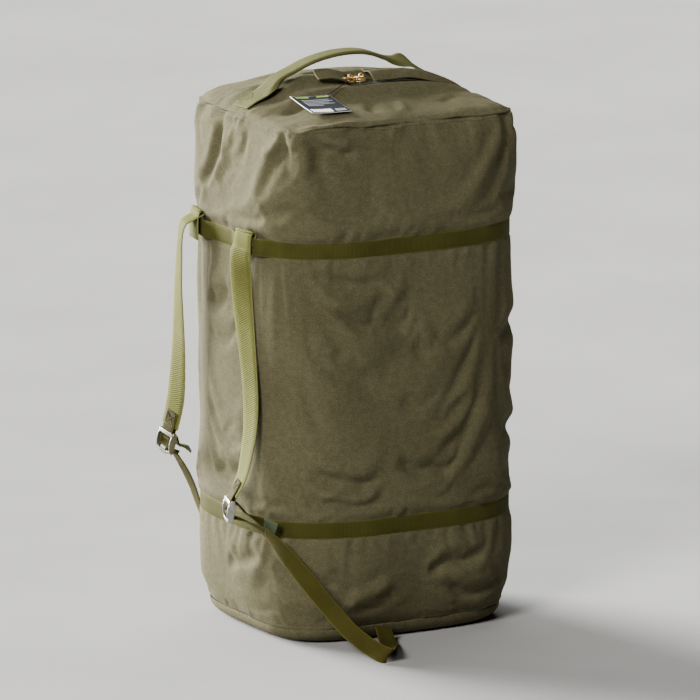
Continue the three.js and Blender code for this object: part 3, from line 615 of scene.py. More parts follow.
def drape(distance, height):
    """How far the simulation moved each place on the wall."""
    if not DRAPE:
        return np.zeros(distance.shape + (3,))
    first, step = DRAPE["distance"][0], DRAPE["distance"][1] - DRAPE["distance"][0]
    low, rise = DRAPE["height"][0], DRAPE["height"][1] - DRAPE["height"][0]
    moves = DRAPE["moves"]
    i = np.clip((distance - first) / step, 0, moves.shape[0] - 1.001)
    j = np.clip((height - low) / rise, 0, moves.shape[1] - 1.001)
    i0, j0 = i.astype(int), j.astype(int)
    ti, tj = (i - i0)[..., None], (j - j0)[..., None]
    lower = mix(moves[i0, j0], moves[i0 + 1, j0], ti)
    upper = mix(moves[i0, j0 + 1], moves[i0 + 1, j0 + 1], ti)
    return mix(lower, upper, tj)


def on_wall(angle, height, lift=0.0):
    """Places on the wall's outer face, moved out by lift."""
    angle, height = np.broadcast_arrays(np.asarray(angle, float), np.asarray(height, float))
    width, depth, square = section(height)
    distance = np.interp(angle % (2 * math.pi), ROUND_ANGLES, ROUND_LENGTHS)
    out = wall_folds(distance, height) + seam_ears(angle, height) + lift
    out = out - GROOVE * hill(TOP_SEAM - height, 3.2)
    reach = superellipse(angle, width * HALF_X + out, depth * HALF_Y + out, square)
    rise = seam_dip(angle) * smooth((height - TOP_SEAM + 60) / 60)
    place = np.stack([reach * np.cos(angle), reach * np.sin(angle), height + rise], axis=-1)
    return behind_strap(place + drape(distance, height), lift)


def behind_strap(place, lift):
    """The near strap hangs against the bag and presses its folds flat."""
    line = np.array(sorted(STRAP_LINES["near"], key=lambda key: key[2]), float)
    x, y, z = place[..., 0], place[..., 1], place[..., 2]
    middle_x, middle_y, turned = (np.interp(z, line[:, 2], line[:, k]) for k in (0, 1, 3))
    limit = middle_x + np.tan(np.radians(turned)) * (middle_y - y) + STRAP_CLEAR - np.asarray(lift)
    across = 1 - smooth((np.abs(y - middle_y) - WIDE / 2 - 2) / 16)
    along = smooth((z - line[0, 2] + 10) / 30) * smooth((line[-1, 2] + 4 - z) / 10)
    pushed = np.where(x < 0, np.maximum(x, limit), x)
    return np.stack([mix(x, pushed, across * along), y, z], axis=-1)


def wall_frame(angle, height, lift=0.0):
    """Place and outward direction on the wall."""
    step = 0.012
    place = on_wall(angle, height, lift)
    across = on_wall(angle + step, height, lift) - on_wall(angle - step, height, lift)
    up = on_wall(angle, height + 2, lift) - on_wall(angle, height - 2, lift)
    return place, unit(np.cross(across, up))


SLOT_ANGLE = math.atan2(SLOT, SECTIONS[0, 1] * HALF_X)
WALL_START = float(np.interp(SLOT_ANGLE, ROUND_ANGLES, ROUND_LENGTHS))  # the wall's edge beside the zip
MOST_MOVE = 14.0  # the furthest that the simulation may move the wall
EXTRA_UP, EXTRA_ROUND = 0.070, 0.014  # how much more cloth there is than the plain form needs
SWELL = 42.0  # swelling wider than this is taken out again, because the sections already have it
CLOTH_FRAMES = 32  # how many steps the simulation runs


def held(distance, height):
    """1 where the cloth is sewn: at both seams, under both bands and beside the zip."""
    hold = np.maximum(1 - (TOP_SEAM - height) / 5, 1 - (height - BOTTOM_SEAM) / 5)
    for level in BAND.values():
        hold = np.maximum(hold, 1 - (np.abs(height - level) - NARROW / 2) / 4)
    hold = np.maximum(hold, 1 - (np.minimum(distance, GIRTH - distance) - WALL_START) / 8)
    return np.clip(hold, 0, 1)


def soften(field, axis, spread):
    """A field blurred along one of its axes."""
    reach = int(3 * spread)
    weights = hill(np.arange(-reach, reach + 1), spread * 1.414)
    weights /= weights.sum()
    rows = np.moveaxis(field, axis, 0)
    padded = np.concatenate([np.repeat(rows[:1], reach, 0), rows, np.repeat(rows[-1:], reach, 0)])
    total = sum(weight * padded[k : k + len(rows)] for k, weight in enumerate(weights))
    return np.moveaxis(total, 0, axis)


def hung_cloth(before, hold):
    """The wall as a cloth that is longer than its plain form, blown out from inside and held at its seams."""
    columns, rows = before.shape[:2]
    cloth = make("drape", before.reshape(-1, 3), grid_faces(columns, rows), CANVAS)
    group = cloth.vertex_groups.new(name="held")
    for index, weight in enumerate(hold.ravel()):
        if weight > 0.001:
            group.add([index], float(weight), "REPLACE")
    modifier = cloth.modifiers.new("cloth", "CLOTH")
    settings = modifier.settings
    settings.quality = 6
    settings.mass = 0.3
    settings.tension_stiffness = settings.compression_stiffness = 18
    settings.shear_stiffness = 6
    settings.bending_stiffness = 0.8
    settings.tension_damping = settings.compression_damping = 8
    settings.bending_damping = 1.5
    settings.air_damping = 4
    cloth.shape_key_add(name="Basis")
    rest = cloth.shape_key_add(name="rest")
    larger = before * np.array([1 + EXTRA_ROUND, 1 + EXTRA_ROUND, 1 + EXTRA_UP])
    rest.data.foreach_set("co", (larger * MM).ravel())
    rest.value = 0
    settings.rest_shape_key = rest
    settings.vertex_group_mass = "held"
    settings.use_pressure = True
    settings.uniform_pressure_force = 3.2
    settings.effector_weights.gravity = 0.25
    modifier.collision_settings.use_collision = False
    modifier.point_cache.frame_start, modifier.point_cache.frame_end = 1, CLOTH_FRAMES
    return cloth


def solved_places(cloth, shape):
    """Runs the simulation and removes the cloth. Returns where its points came to, in millimetres."""
    scene = bpy.context.scene
    for frame_number in range(1, CLOTH_FRAMES + 1):
        scene.frame_set(frame_number)
    solved = cloth.evaluated_get(bpy.context.evaluated_depsgraph_get()).to_mesh()
    after = np.empty(len(solved.vertices) * 3)
    solved.vertices.foreach_get("co", after)
    scene.frame_set(1)
    bpy.data.objects.remove(cloth)
    return after.reshape(shape) / MM


def drape_wall():
    """Blender's cloth finds the wrinkles. Its moves are kept without their wide swelling, and capped."""
    columns, rows = ((236, 124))
    distance = np.linspace(WALL_START, GIRTH - WALL_START, columns)
    height = np.linspace(BOTTOM_SEAM - 2, TOP_SEAM, rows)
    s, z = np.meshgrid(distance, height, indexing="ij")
    before = on_wall(angle_at(s), z)
    hold = held(s, z)
    moves = solved_places(hung_cloth(before, hold), before.shape) - before
    swelling = moves
    for axis, spacing in ((0, distance[1] - distance[0]), (1, height[1] - height[0])):
        swelling = soften(swelling, axis, SWELL / spacing)
    moves = moves - 0.9 * swelling * (1 - hold[..., None])
    size = np.linalg.norm(moves, axis=-1, keepdims=True)
    moves *= MOST_MOVE * np.tanh(size / MOST_MOVE) / np.maximum(size, 1e-6)
    DRAPE.update(distance=distance, height=height, moves=moves)


def body_wrap():
    """The canvas wall, open along the middle of one narrow face where the zip goes."""
    columns = 330
    rows = 200
    distance = np.linspace(WALL_START, GIRTH - WALL_START, columns)
    low, high = BOTTOM_SEAM - 2, TOP_SEAM
    height = np.concatenate([np.linspace(low, high - 12, rows), np.linspace(high - 10.8, high, 10)])
    s, z = np.meshgrid(distance, height, indexing="ij")
    outer = on_wall(angle_at(s), z)
    points, faces = shell(outer, 2.4, grid_normals(outer))
    cloth = flat_places(s, z)
    return make("body_wrap_cloth", points, faces, CANVAS, "bag", cloth, ["body_wrap"])


# ------------------------------------------------------------------ top panel

FRONT_CROWN = 25.0
BACK_CROWN = 38.7
SAG = 9.0  # how much flatter the panel lies in front of the zip and at its right end
TOP_WIDTH, TOP_DEPTH, TOP_SQUARE = SECTIONS[-1, 1] * HALF_X, SECTIONS[-1, 2] * HALF_Y, SECTIONS[-1, 3]


def panel_square(share):
    return 2 + (TOP_SQUARE - 2) * np.minimum(share, 1) ** 3


def panel_share(x, y):
    """How far a place lies from the middle of the top panel to its seam."""
    angle = np.arctan2(y, x)
    radius = np.hypot(x, y)
    share = radius / superellipse(angle, TOP_WIDTH, TOP_DEPTH, TOP_SQUARE)
    for _ in range(3):
        share = radius / superellipse(angle, TOP_WIDTH, TOP_DEPTH, panel_square(share))
    return share


# Folds of the top panel: from (x, y) to (x, y), half width, depth.
TOP_FOLDS = [
    (-150, 60, -96, 20, 7, -3.0),
    (-118, 96, -70, 70, 9, -2.4),
    (-64, 40, -30, 30, 7, -2.0),
    (-150, -60, -100, -30, 9, -3.2),
    (-120, -110, -70, -84, 9, 2.6),
    (-40, -120, -10, -70, 9, -3.0),
    (10, -132, 26, -80, 8, 2.4),
    (50, -60, 120, -40, 10, -2.4),
    (90, -110, 130, -70, 9, -2.6),
    (-60, 100, 40, 90, 12, -2.6),
    (60, 110, 130, 86, 10, -2.8),
    (40, 60, 110, 48, 9, -2.0),
]


def panel_folds(x, y, share):
    out = 0.0
    for x0, y0, x1, y1, width, depth in TOP_FOLDS:
        along = np.array([x1 - x0, y1 - y0], float)
        size = np.linalg.norm(along)
        along /= size
        t = ((x - x0) * along[0] + (y - y0) * along[1]) / size
        off = -(x - x0) * along[1] + (y - y0) * along[0] + 4 * wander(t * size / 30 + x0, 2.2)
        ends = smooth(t / 0.35 + 0.4) * smooth((1 - t) / 0.35 + 0.4)
        out = out + depth * ends * (hill(off, width) - 0.35 * hill(off - 1.5 * width, width))
    angle = np.arctan2(y, x)
    distance = np.interp(angle % (2 * math.pi), ROUND_ANGLES, ROUND_LENGTHS)
    edge = np.maximum(1 - share, 0) * 150
    out = out + puckers(distance, edge, 20, 16, 2.2, 67)
    out = out + 1.6 * ripple(x / 60 + 9, y / 55, 31) * smooth(edge / 30)
    out = out + 0.7 * ripple(x / 24 + 9, y / 22, 37) * smooth(edge / 15)
    return out


ZIP_FROM = -14.0  # where the slot for the zip starts


def panel_height(x, y):
    """Height of the top panel's outer face."""
    x, y = np.asarray(x, float), np.asarray(y, float)
    share = panel_share(x, y)
    front = FRONT_CROWN - 1.55 * SAG * smooth((-20 - y) / 30)
    back = BACK_CROWN - SAG * smooth((x - 10) / 80)
    crown = mix(front, back, smooth((y + 5) / 35)) - 7 * smooth((-95 - x) / 40) * smooth((60 - y) / 30)
    plain = TOP_SEAM + 3.3 + crown * (1 - np.minimum(share, 1) ** 3.2)
    in_slot = smooth((x - ZIP_FROM) / 4) * smooth((SLOT - 0.5 - np.abs(y)) / 2.5)
    calm = 1 - smooth((x + 26) / 16) * smooth((34 - np.abs(y)) / 14)
    seam = smooth((share - 0.9) / 0.1) * (seam_dip(np.arctan2(y, x)) - 1.0)
    seam = seam - GROOVE * hill((1 - share) * 160, 3.2)
    return plain + calm * panel_folds(x, y, share) + seam - 5.0 * in_slot


def top_panel():
    rings = 80
    spokes = 300
    share = np.linspace(0, 1, rings) ** 0.8
    angle = np.linspace(0, 2 * math.pi, spokes, endpoint=False)
    a, r = np.meshgrid(angle, share, indexing="ij")
    radius = r * superellipse(a, TOP_WIDTH, TOP_DEPTH, panel_square(r))
    ears = 0.0
    for corner in CORNERS:
        turn = (np.degrees(a) - corner + 180) % 360 - 180
        ears = ears + EAR * hill(turn, 7.0) * np.exp((r - 1) * 9)
    x, y = (radius + ears * r) * np.cos(a), (radius + ears * r) * np.sin(a)
    outer = np.stack([x, y, panel_height(x, y)], axis=-1)
    points, faces = shell(outer, 2.4, np.broadcast_to(np.array([0, 0, 1.0]), outer.shape), ring=True)
    cloth = flat_places(x, y)
    return make("top_panel_cloth", points, faces, CANVAS, "bag", cloth, ["top_panel"])


# ------------------------------------------------------------------ bottom panel

FLAT_SHARE = 0.84


def bottom_panel():
    """The end panel that the bag stands on: flat in its middle, rolled up to the seam at its edge."""
    rings = 60
    spokes = 300
    flat = np.linspace(0, FLAT_SHARE, rings // 3, endpoint=False)
    share = np.concatenate([flat, np.linspace(FLAT_SHARE, 1, rings)])
    angle = np.linspace(0, 2 * math.pi, spokes, endpoint=False)
    a, r = np.meshgrid(angle, share, indexing="ij")
    width, depth, square = SECTIONS[0, 1] * HALF_X, SECTIONS[0, 2] * HALF_Y, SECTIONS[0, 3]
    distance = np.interp(a, ROUND_ANGLES, ROUND_LENGTHS)
    t = np.clip((r - FLAT_SHARE) / (1 - FLAT_SHARE), 0, 1)
    swell = 1.2 * np.sin(math.pi * t) + 0.6 * t * wander(distance / 22, 8.8)
    radius = r * superellipse(a, width, depth, square) + swell * t
    rise = (BOTTOM_SEAM - 2.2) * (1 - np.sqrt(1 - 0.999 * t * t))
    outer = np.stack([radius * np.cos(a), radius * np.sin(a), rise], axis=-1)
    points, faces = shell(outer, -2.4, np.broadcast_to(np.array([0, 0, 1.0]), outer.shape), ring=True)
    faces = [face[::-1] for face in faces]
    cloth = flat_places(outer[..., 0], outer[..., 1])
    return make("bottom_panel_cloth", points, faces, CANVAS, "bag", cloth, ["bottom_panel"])


# ------------------------------------------------------------------ stitches and strips


def stitches(name, path, normals, material, body, pitch=4.4, length=3.0, radius=0.42, lift=0.1):
    """A row of stitches along a path: each is a short bead of thread that dips at both ends."""
    path, normals = np.asarray(path, float), unit(np.asarray(normals, float))
    along = lengths(path)
    count = max(1, int(along[-1] / pitch))
    points, faces = [], []
    for i in range(count):
        middle = (i + 0.5) * along[-1] / count
        rings = []
        for part, size, sink in ((-0.5, 0.45, -0.35), (-0.3, 1.0, 0.0), (0.3, 1.0, 0.0), (0.5, 0.45, -0.35)):
            at = middle + part * length
            spot = np.array([np.interp(at, along, path[:, k]) for k in range(3)])
            up = unit(np.array([np.interp(at, along, normals[:, k]) for k in range(3)]))
            rings.append((spot + up * (lift + sink), up, size))
        forward = unit(rings[-1][0] - rings[0][0])
        base = len(points)
        for spot, up, size in rings:
            side = np.cross(forward, up)
            for k in range(5):
                turn = 2 * math.pi * k / 5
                points.append(spot + radius * size * (math.cos(turn) * side + math.sin(turn) * up))
        for ring in range(3):
            for k in range(5):
                a, b = base + ring * 5 + k, base + ring * 5 + (k + 1) % 5
                faces.append((a, b, b + 5, a + 5))
        faces.append(tuple(base + k for k in reversed(range(5))))
        faces.append(tuple(base + 15 + k for k in range(5)))
    return make(name, np.array(points), faces, material, body)


def flat_section(width, thickness):
    """Outline of flat webbing: [across, up] round its closed cross-section, with rounded edges."""
    half, up = width / 2, thickness / 2
    top = [(-half, 0), (-half + 0.12, 0.7 * up), (-half + 0.5, up)]
    top += [(-half * 0.5, up), (0, up), (half * 0.5, up)]
    top += [(half - 0.5, up), (half - 0.12, 0.7 * up), (half, 0)]
    return np.array(top + [(x, -y) for x, y in top[-2:0:-1]])


def folded_section(width, thickness, share, bend=1.9):
    """Outline of webbing whose edges fold under by a share of half a turn. Also each point's place across."""
    arc = math.pi * bend
    flat = width / 4 + 0.8
    across = np.concatenate([
        np.linspace(0, flat, 4, endpoint=False),
        np.linspace(flat, flat + arc, 8, endpoint=False),
        np.linspace(flat + arc, width / 2, 3),
    ])
    turn = share * math.pi * np.clip((across - flat) / arc, 0, 1)
    steps = np.diff(across)
    middle_turn = (turn[1:] + turn[:-1]) / 2
    x = np.concatenate([[0], np.cumsum(steps * np.cos(middle_turn))])
    z = np.concatenate([[0], np.cumsum(-steps * np.sin(middle_turn))])
    nx, nz = np.sin(turn), np.cos(turn)
    thick = np.full(len(x), thickness / 2)
    thick[-1] *= 0.3
    upper = np.stack([x + nx * thick, z + nz * thick], axis=1)
    lower = np.stack([x - nx * thick, z - nz * thick], axis=1)
    mirror = np.array([-1, 1])
    outline = np.vstack([(upper * mirror)[::-1], upper[1:], lower[::-1], (lower * mirror)[1:]])
    place = np.concatenate([-across[::-1], across[1:], across[::-1], -across[1:]])
    return outline, place


def sweep(name, centre, side, outlines, places, material, body=None, replaces=()):
    """A strip of cloth: one closed outline at each place along a line. The outline's first axis is side."""
    centre = np.asarray(centre, float)
    tangent = unit(np.gradient(centre, axis=0))
    side = np.asarray(side, float)
    side = unit(side - tangent * np.sum(side * tangent, axis=1, keepdims=True))
    up = np.cross(tangent, side)
    along = lengths(centre)
    count, size = len(centre), outlines.shape[-2]
    outlines = np.broadcast_to(outlines, (count, size, 2))
    points = centre[:, None] + outlines[..., :1] * side[:, None] + outlines[..., 1:] * up[:, None]
    places = np.broadcast_to(places, (count, size))
    lay = np.stack([np.broadcast_to(along[:, None], (count, size)), places, 0 * places], axis=-1)
    faces = []
    for i in range(count - 1):
        for j in range(size):
            a, b = i * size + j, i * size + (j + 1) % size
            faces.append((a, b, b + size, a + size))
    faces.append(tuple(reversed(range(size))))
    faces.append(tuple((count - 1) * size + j for j in range(size)))
    return make(name, points.reshape(-1, 3), faces, material, body, lay.reshape(-1, 3), replaces)


def strip(name, keys, width, thickness, material, count, body=None, replaces=()):
    """Flat webbing laid through keys of [x, y, z, side x, side y, side z]."""
    rows = spline(keys, count)
    outline = flat_section(width, thickness)
    return sweep(name, rows[:, :3], rows[:, 3:6], outline, outline[:, 0], material, body, replaces)


# ------------------------------------------------------------------ bands

STAND_OFF = 7.0  # how far the upper band stands off the wall where the shoulder straps pass behind it
STRAP_SIDE = {"near": -61.0, "far": 87.0}


def band_lift(name, place):
    """How far a band stands off the wall."""
    if name == "lower_band":
        return 0 * place[:, 0]
    bulge = 0.0
    for side in STRAP_SIDE.values():
        bulge = np.maximum(bulge, 1 - smooth((np.abs(place[:, 1] - side) - WIDE / 2 - 6) / 26))
    return np.where(place[:, 0] < 0, STAND_OFF * bulge, 0.0)


def band(name):
    """A webbing band round the wall that ends under the hood of the zip, with its two stitch lines."""
    end = math.atan2(SLOT + 6, HALF_X)
    start = np.interp(end, ROUND_ANGLES, ROUND_LENGTHS)
    angle = angle_at(np.linspace(start, GIRTH - start, 420))
    height = BAND[name] + 0.7 * wander(angle * 3, 4.4)
    plain = on_wall(angle, height)
    width, depth, square = section(BAND[name])
    out = 1.8 + band_lift(name, plain)
    reach = superellipse(angle, width * HALF_X - CINCH + out, depth * HALF_Y - CINCH + out, square)
    centre = np.stack([reach * np.cos(angle), reach * np.sin(angle), height], axis=-1)
    side = np.broadcast_to(np.array([0, 0, -1.0]), centre.shape)
    outline = flat_section(NARROW, 1.7)
    sweep(name + "_webbing", centre, side, outline, outline[:, 0], BAND_WEBBING, "bag", [name])
    tangent = unit(np.gradient(centre, axis=0))
    outward = np.cross(tangent, side)
    for edge, label in ((-1, "under"), (1, "over")):
        line = centre + outward * 0.85 + np.array([0, 0, edge * (NARROW / 2 - 3.0)])
        stitches(f"{name}_stitch_{label}", line, outward, LIGHT_THREAD, "bag", 4.6, 3.2, 0.36)


# ------------------------------------------------------------------ zip


def zip_line(count, start=-10.0):
    """The zip's middle line: places, and the way outwards from the bag."""
    level_end = 82.0
    keys = [(start, 0, ZIP_HEIGHT, 0, 0, 1), (level_end - 8, 0, ZIP_HEIGHT, 0, 0, 1)]
    keys.append((level_end, 0, ZIP_HEIGHT - 0.2, 0.05, 0, 1))
    for x, nx, nz in ((125, 0.2, 0.98), (158, 0.45, 0.9)):
        sag = ZIP_END_SAG * smooth((x - 90) / 90)
        crown = FRONT_CROWN * (1 - float(panel_share(x, 0.0)) ** 3)
        keys.append((x, 0, TOP_SEAM + 2.3 - sag + crown, nx, 0, nz))
    keys.append((178, 0, TOP_SEAM + 1 - ZIP_END_SAG, 0.75, 0, 0.66))
    for height, share, _, _ in SECTIONS[-2:0:-1]:
        waist = CINCH if height in BAND.values() else 0.0
        keys.append((share * HALF_X - waist - 1, 0, height, 1, 0, 0))
    keys.append((SECTIONS[0, 1] * HALF_X + 2, 0, BOTTOM_SEAM + 6, 0.98, 0, -0.2))
    rows = spline(keys, count)
    tangent = unit(np.gradient(rows[:, :3], axis=0))
    out = unit(rows[:, 3:6] - tangent * np.sum(rows[:, 3:6] * tangent, axis=1, keepdims=True))
    return rows[:, :3], out


TAPE_MIDDLE, TAPE_WIDTH = 10.4, 12.2
TOOTH_PITCH = 2.6


def zip_pieces():
    """The two woven tapes and the closed row of teeth between them."""
    centre, _ = zip_line(200)
    across = np.broadcast_to(np.array([0, 1.0, 0]), centre.shape)
    for name, middle in (("zip_tape_front", -TAPE_MIDDLE), ("zip_tape_back", TAPE_MIDDLE)):
        outline = flat_section(TAPE_WIDTH, 1.0)
        shifted = outline + np.array([middle, 0])
        sweep(name + "_cloth", centre, across, shifted, outline[:, 0], ZIP_TAPE, "bag", [name])
    total = lengths(centre)[-1]
    stations = int(total / TOOTH_PITCH * 4)
    centre, _ = zip_line(stations)
    along = lengths(centre)
    tooth = 0.5 + 0.5 * np.cos(2 * math.pi * along / TOOTH_PITCH)
    half = np.array([-3.9, -3.3, -1.6, -0.4, 0.0, 0.4, 1.6, 3.3, 3.9])
    crown = np.array([0.0, 0.9, 1.5, 1.5, 0.7, 1.5, 1.5, 0.9, 0.0])
    top = crown[None] * (0.55 + 0.45 * tooth[:, None])
    outlines = np.stack([np.broadcast_to(half, top.shape), top], axis=-1)
    below = np.stack([np.broadcast_to(half[-2:0:-1], (stations, 7)), np.full((stations, 7), -1.2)], axis=-1)
    outlines = np.concatenate([outlines, below], axis=1)
    side = np.broadcast_to(np.array([0, 1.0, 0]), centre.shape)
    flat = outlines[0, :, 0]
    sweep("zip_teeth", centre, side, outlines, flat, ZIP_TEETH, "bag", ["zip_chain"])


FLAP_START, FLAP_SEWN, FLAP_FREE = 24.0, SLOT + 5, -SLOT + 1


def storm_flap():
    """The hood over the zip: sewn down behind it, arched over it, hanging free in front."""
    steps, across = ((260, 26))
    line, out = zip_line(steps, FLAP_START)
    along = lengths(line)
    u = (along / along[-1])[:, None]
    v = np.linspace(0, 1, across)[None]
    behind = np.minimum(line[:, 0], TOP_WIDTH - 3)
    sewn_height = panel_height(behind, np.full(steps, FLAP_SEWN + 4))
    step = np.maximum(0, sewn_height - panel_height(behind, np.full(steps, -20.0)))
    step = step[:, None] * smooth((TOP_SEAM + 26 - line[:, 2:3]) / -20 + 1)
    crest = 8 + 7.5 * (1 - smooth((u - 0.1) / 0.1)) + 0.9 * wander(along / 30, 6.1)[:, None]
    arch = crest * np.sin(math.pi * np.clip(v * 1.06 + 0.02, 0, 1)) ** 0.6
    height = np.maximum(mix(step + 0.6, 3.0, v), arch * 0.82) + 1.8
    height = height + 0.7 * ripple(along[:, None] / 22, v * 3, 44) * v
    y = mix(FLAP_SEWN, FLAP_FREE, v) + 1.2 * wander(along / 45, 7.3)[:, None] * v
    outer = line[:, None] + out[:, None] * height[..., None]
    outer = outer + y[..., None] * np.array([0, 1.0, 0])
    normals = grid_normals(outer)
    if np.mean(np.sum(normals * out[:, None], axis=-1)) < 0:
        normals = -normals
    points, faces = shell(outer, 1.8, normals)
    cloth = flat_places(np.broadcast_to(along[:, None], y.shape), y)
    hood = [make("storm_flap_cloth", points, faces, CANVAS, None, cloth, ["storm_flap"])]
    for column, label in ((across - 3, "free"), (2, "sewn")):
        name = f"storm_flap_stitch_{label}"
        path, up = outer[:, column], normals[:, column]
        hood.append(stitches(name, path, up, DARK_THREAD, None, 4.4, 3.0, 0.36))
    for piece in hood:
        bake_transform(piece)


def zip_tongue():
    """The folded canvas tongue at the zip's closed end, lifted off the panel and arched across."""
    keys = [
        (-13, 1, ZIP_HEIGHT + 8.5, 0, 1, 0.30),
        (-24, 3, ZIP_HEIGHT + 13, 0, 1, 0.34),
        (-40, 6, ZIP_HEIGHT + 16.5, 0, 1, 0.36),
        (-58, 9, ZIP_HEIGHT + 16, 0, 1, 0.38),
    ]
    rows = spline(keys, 40)
    v = np.linspace(-1, 1, 15)
    outlines = []
    for k in range(40):
        half = 13.5 - 1.5 * (k / 39) ** 6
        arch = 3.2 * (1 - v**2) + 0.5 * np.sin(5 * v + k * 0.13)
        top = np.stack([v * half, arch + 1.5], axis=1)
        under = np.stack([v[::-1] * half, arch[::-1] - 1.5], axis=1)
        outlines.append(np.vstack([top, under]))
    outlines = np.array(outlines)
    centre, lean, flat = rows[:, :3], rows[:, 3:6], outlines[0, :, 0]
    sweep("zip_tongue_cloth", centre, lean, outlines, flat, CANVAS, "bag", ["zip_tongue"])
    tangent = unit(np.gradient(rows[:, :3], axis=0))
    side = unit(rows[:, 3:6] - tangent * np.sum(rows[:, 3:6] * tangent, axis=1, keepdims=True))
    up = np.cross(tangent, side)
    for edge, label in ((-1, "left"), (1, "right")):
        name = f"zip_tongue_stitch_{label}"
        path = rows[2:38, :3] + side[2:38] * edge * 11 + up[2:38] * 2.5
        stitches(name, path, up[2:38], DARK_THREAD, "bag", 4.0, 2.8, 0.34)


# ------------------------------------------------------------------ metal pieces


def plate(outline, depth, bevel):
    """A plate with rounded rims: the outline in x and y, its thickness along z. Returns points and faces."""
    outline = np.asarray(outline, float)
    count = len(outline)
    ahead, back = np.roll(outline, -1, axis=0), np.roll(outline, 1, axis=0)
    run = unit(ahead - back)
    area = np.sum(outline[:, 0] * ahead[:, 1] - ahead[:, 0] * outline[:, 1])
    inward = np.stack([-run[:, 1], run[:, 0]], axis=1) * (1 if area > 0 else -1)
    rings = []
    for angle in (0, 30, 60, 90):
        a = math.radians(angle)
        rings.append((bevel * (1 - math.sin(a)), -depth / 2 + bevel * (1 - math.cos(a))))
    rings += [(inset, -z) for inset, z in rings[::-1]]
    points = np.vstack([np.hstack([outline + inward * inset, np.full((count, 1), z)]) for inset, z in rings])
    faces = []
    for ring in range(len(rings) - 1):
        for k in range(count):
            a, b = ring * count + k, ring * count + (k + 1) % count
            faces.append((a, b, b + count, a + count))
    last = (len(rings) - 1) * count
    faces.append(tuple(reversed(range(count))))
    faces.append(tuple(last + k for k in range(count)))
    if area < 0:
        faces = [face[::-1] for face in faces]
    return points, faces


def rod(start, end, radius, sides=12):
    """A round bar between two points."""
    start, end = np.array(start, float), np.array(end, float)
    way = unit(end - start)
    side = unit(np.cross(way, [0.3, 0.5, 0.8]))
    up = np.cross(way, side)
    turn = np.linspace(0, 2 * math.pi, sides, endpoint=False)[:, None]
    ring = radius * (np.cos(turn) * side + np.sin(turn) * up)
    points = np.vstack([start + ring, end + ring])
    faces = [(k, (k + 1) % sides, (k + 1) % sides + sides, k + sides) for k in range(sides)]
    faces += [tuple(reversed(range(sides))), tuple(sides + k for k in range(sides))]
    return points, faces


def hoop(middle, axis, radius, tube, sides=28):
    """A ring of round wire."""
    middle, axis = np.array(middle, float), unit(np.array(axis, float))
    side = unit(np.cross(axis, [0.3, 0.5, 0.8]))
    up = np.cross(axis, side)
    points, faces, small = [], [], 10
    for i in range(sides):
        a = 2 * math.pi * i / sides
        out = math.cos(a) * side + math.sin(a) * up
        for j in range(small):
            b = 2 * math.pi * j / small
            points.append(middle + out * (radius + tube * math.cos(b)) + axis * tube * math.sin(b))
            n, m = (i + 1) % sides, (j + 1) % small
            faces.append((i * small + j, n * small + j, n * small + m, i * small + m))
    return np.array(points), faces


def gather(parts):
    """One list of points and faces from several."""
    points, faces, base = [], [], 0
    for some, joined in parts:
        points.append(some)
        faces += [tuple(base + k for k in face) for face in joined]
        base += len(some)
    return np.vstack(points), faces


def turned(part, matrix, offset=(0, 0, 0)):
    """A part with its axes replaced by the rows of a matrix, then moved."""
    points, faces = part
    return points @ np.asarray(matrix, float) + np.asarray(offset, float), faces


def rounded_box(width, length, corner, steps=5):
    """Outline of a rectangle with rounded corners."""
    outline = []
    for cx, cy, start in ((1, 1, 0), (-1, 1, 90), (-1, -1, 180), (1, -1, 270)):
        for k in range(steps + 1):
            a = math.radians(start + 90 * k / steps)
            outline.append((cx * (width / 2 - corner) + corner * math.cos(a),
                            cy * (length / 2 - corner) + corner * math.sin(a)))
    return outline


X_AXIS, Y_AXIS, Z_AXIS = np.eye(3)
# The sliders and pulls are drawn this much nearer the zip's closed end than in the CAD. The frame's hinges
# aren't moved with them, so a pull that turns leaves its slider.
SLIDER_BACK = 6.5
SLIDER_X = {name: float(np.mean([c[0] for c in span(name)])) for name in ("slider_upper", "slider_lower")}


def slider_pieces(name, x):
    """A brass slider with an upright padlock eye, and its forked pull."""
    shield = [(7.2, -3.6), (7.6, 0), (7.2, 3.6), (3.5, 6.1), (-2, 6.3), (-6, 5.2), (-7.4, 2.2), (-7.4, -2.2),
              (-6, -5.2), (-2, -6.3), (3.5, -6.1)]
    shield = spline([(px, py, 0) for px, py in shield + shield[:1]], 40)[:-1, :2]
    top = turned(plate(shield, 2.2, 0.9), np.eye(3), (0, 0, 5.0))
    low = turned(plate(shield * 0.96, 1.2, 0.5), np.eye(3), (0, 0, 1.7))
    flange = plate(rounded_box(9, 1.5, 0.6), 4.6, 0.4)
    flanges = [turned(flange, np.eye(3), (-0.5, side * 5.3, 3.4)) for side in (-1, 1)]
    neck = rod((3.6, 0, 1.4), (3.6, 0, 5.6), 2.0)
    eye = hoop((-0.6, 0, 9.4), Y_AXIS, 3.5, 1.15)
    bridge = turned(plate(rounded_box(7.5, 3.0, 1.2), 1.8, 0.8), np.eye(3), (-0.6, 0, 6.3))
    points, faces = gather([top, low, *flanges, neck, eye, bridge])
    points = points + np.array([x - SLIDER_BACK, 0, ZIP_HEIGHT])
    make(name + "_brass", points, faces, BRASS, name, None, [name])

    label = name.replace("slider", "pull")
    place, _ = pivot(label + "_turn")
    arm = plate(rounded_box(8.8, 1.6, 0.7), 1.7, 0.7)
    arms = [turned(arm, np.eye(3), (-3.5, side * 3.0, 0)) for side in (-1, 1)]
    pin = rod((0, -3.5, 0), (0, 3.5, 0), 0.7)
    ring = hoop((-10.6, 0, 0), Z_AXIS, 3.9, 1.25)
    points, faces = gather([*arms, pin, ring])
    points = points - SLIDER_BACK * X_AXIS
    make(label + "_brass", points + place, faces, BRASS, label, None, [label])


# ------------------------------------------------------------------ carry handle


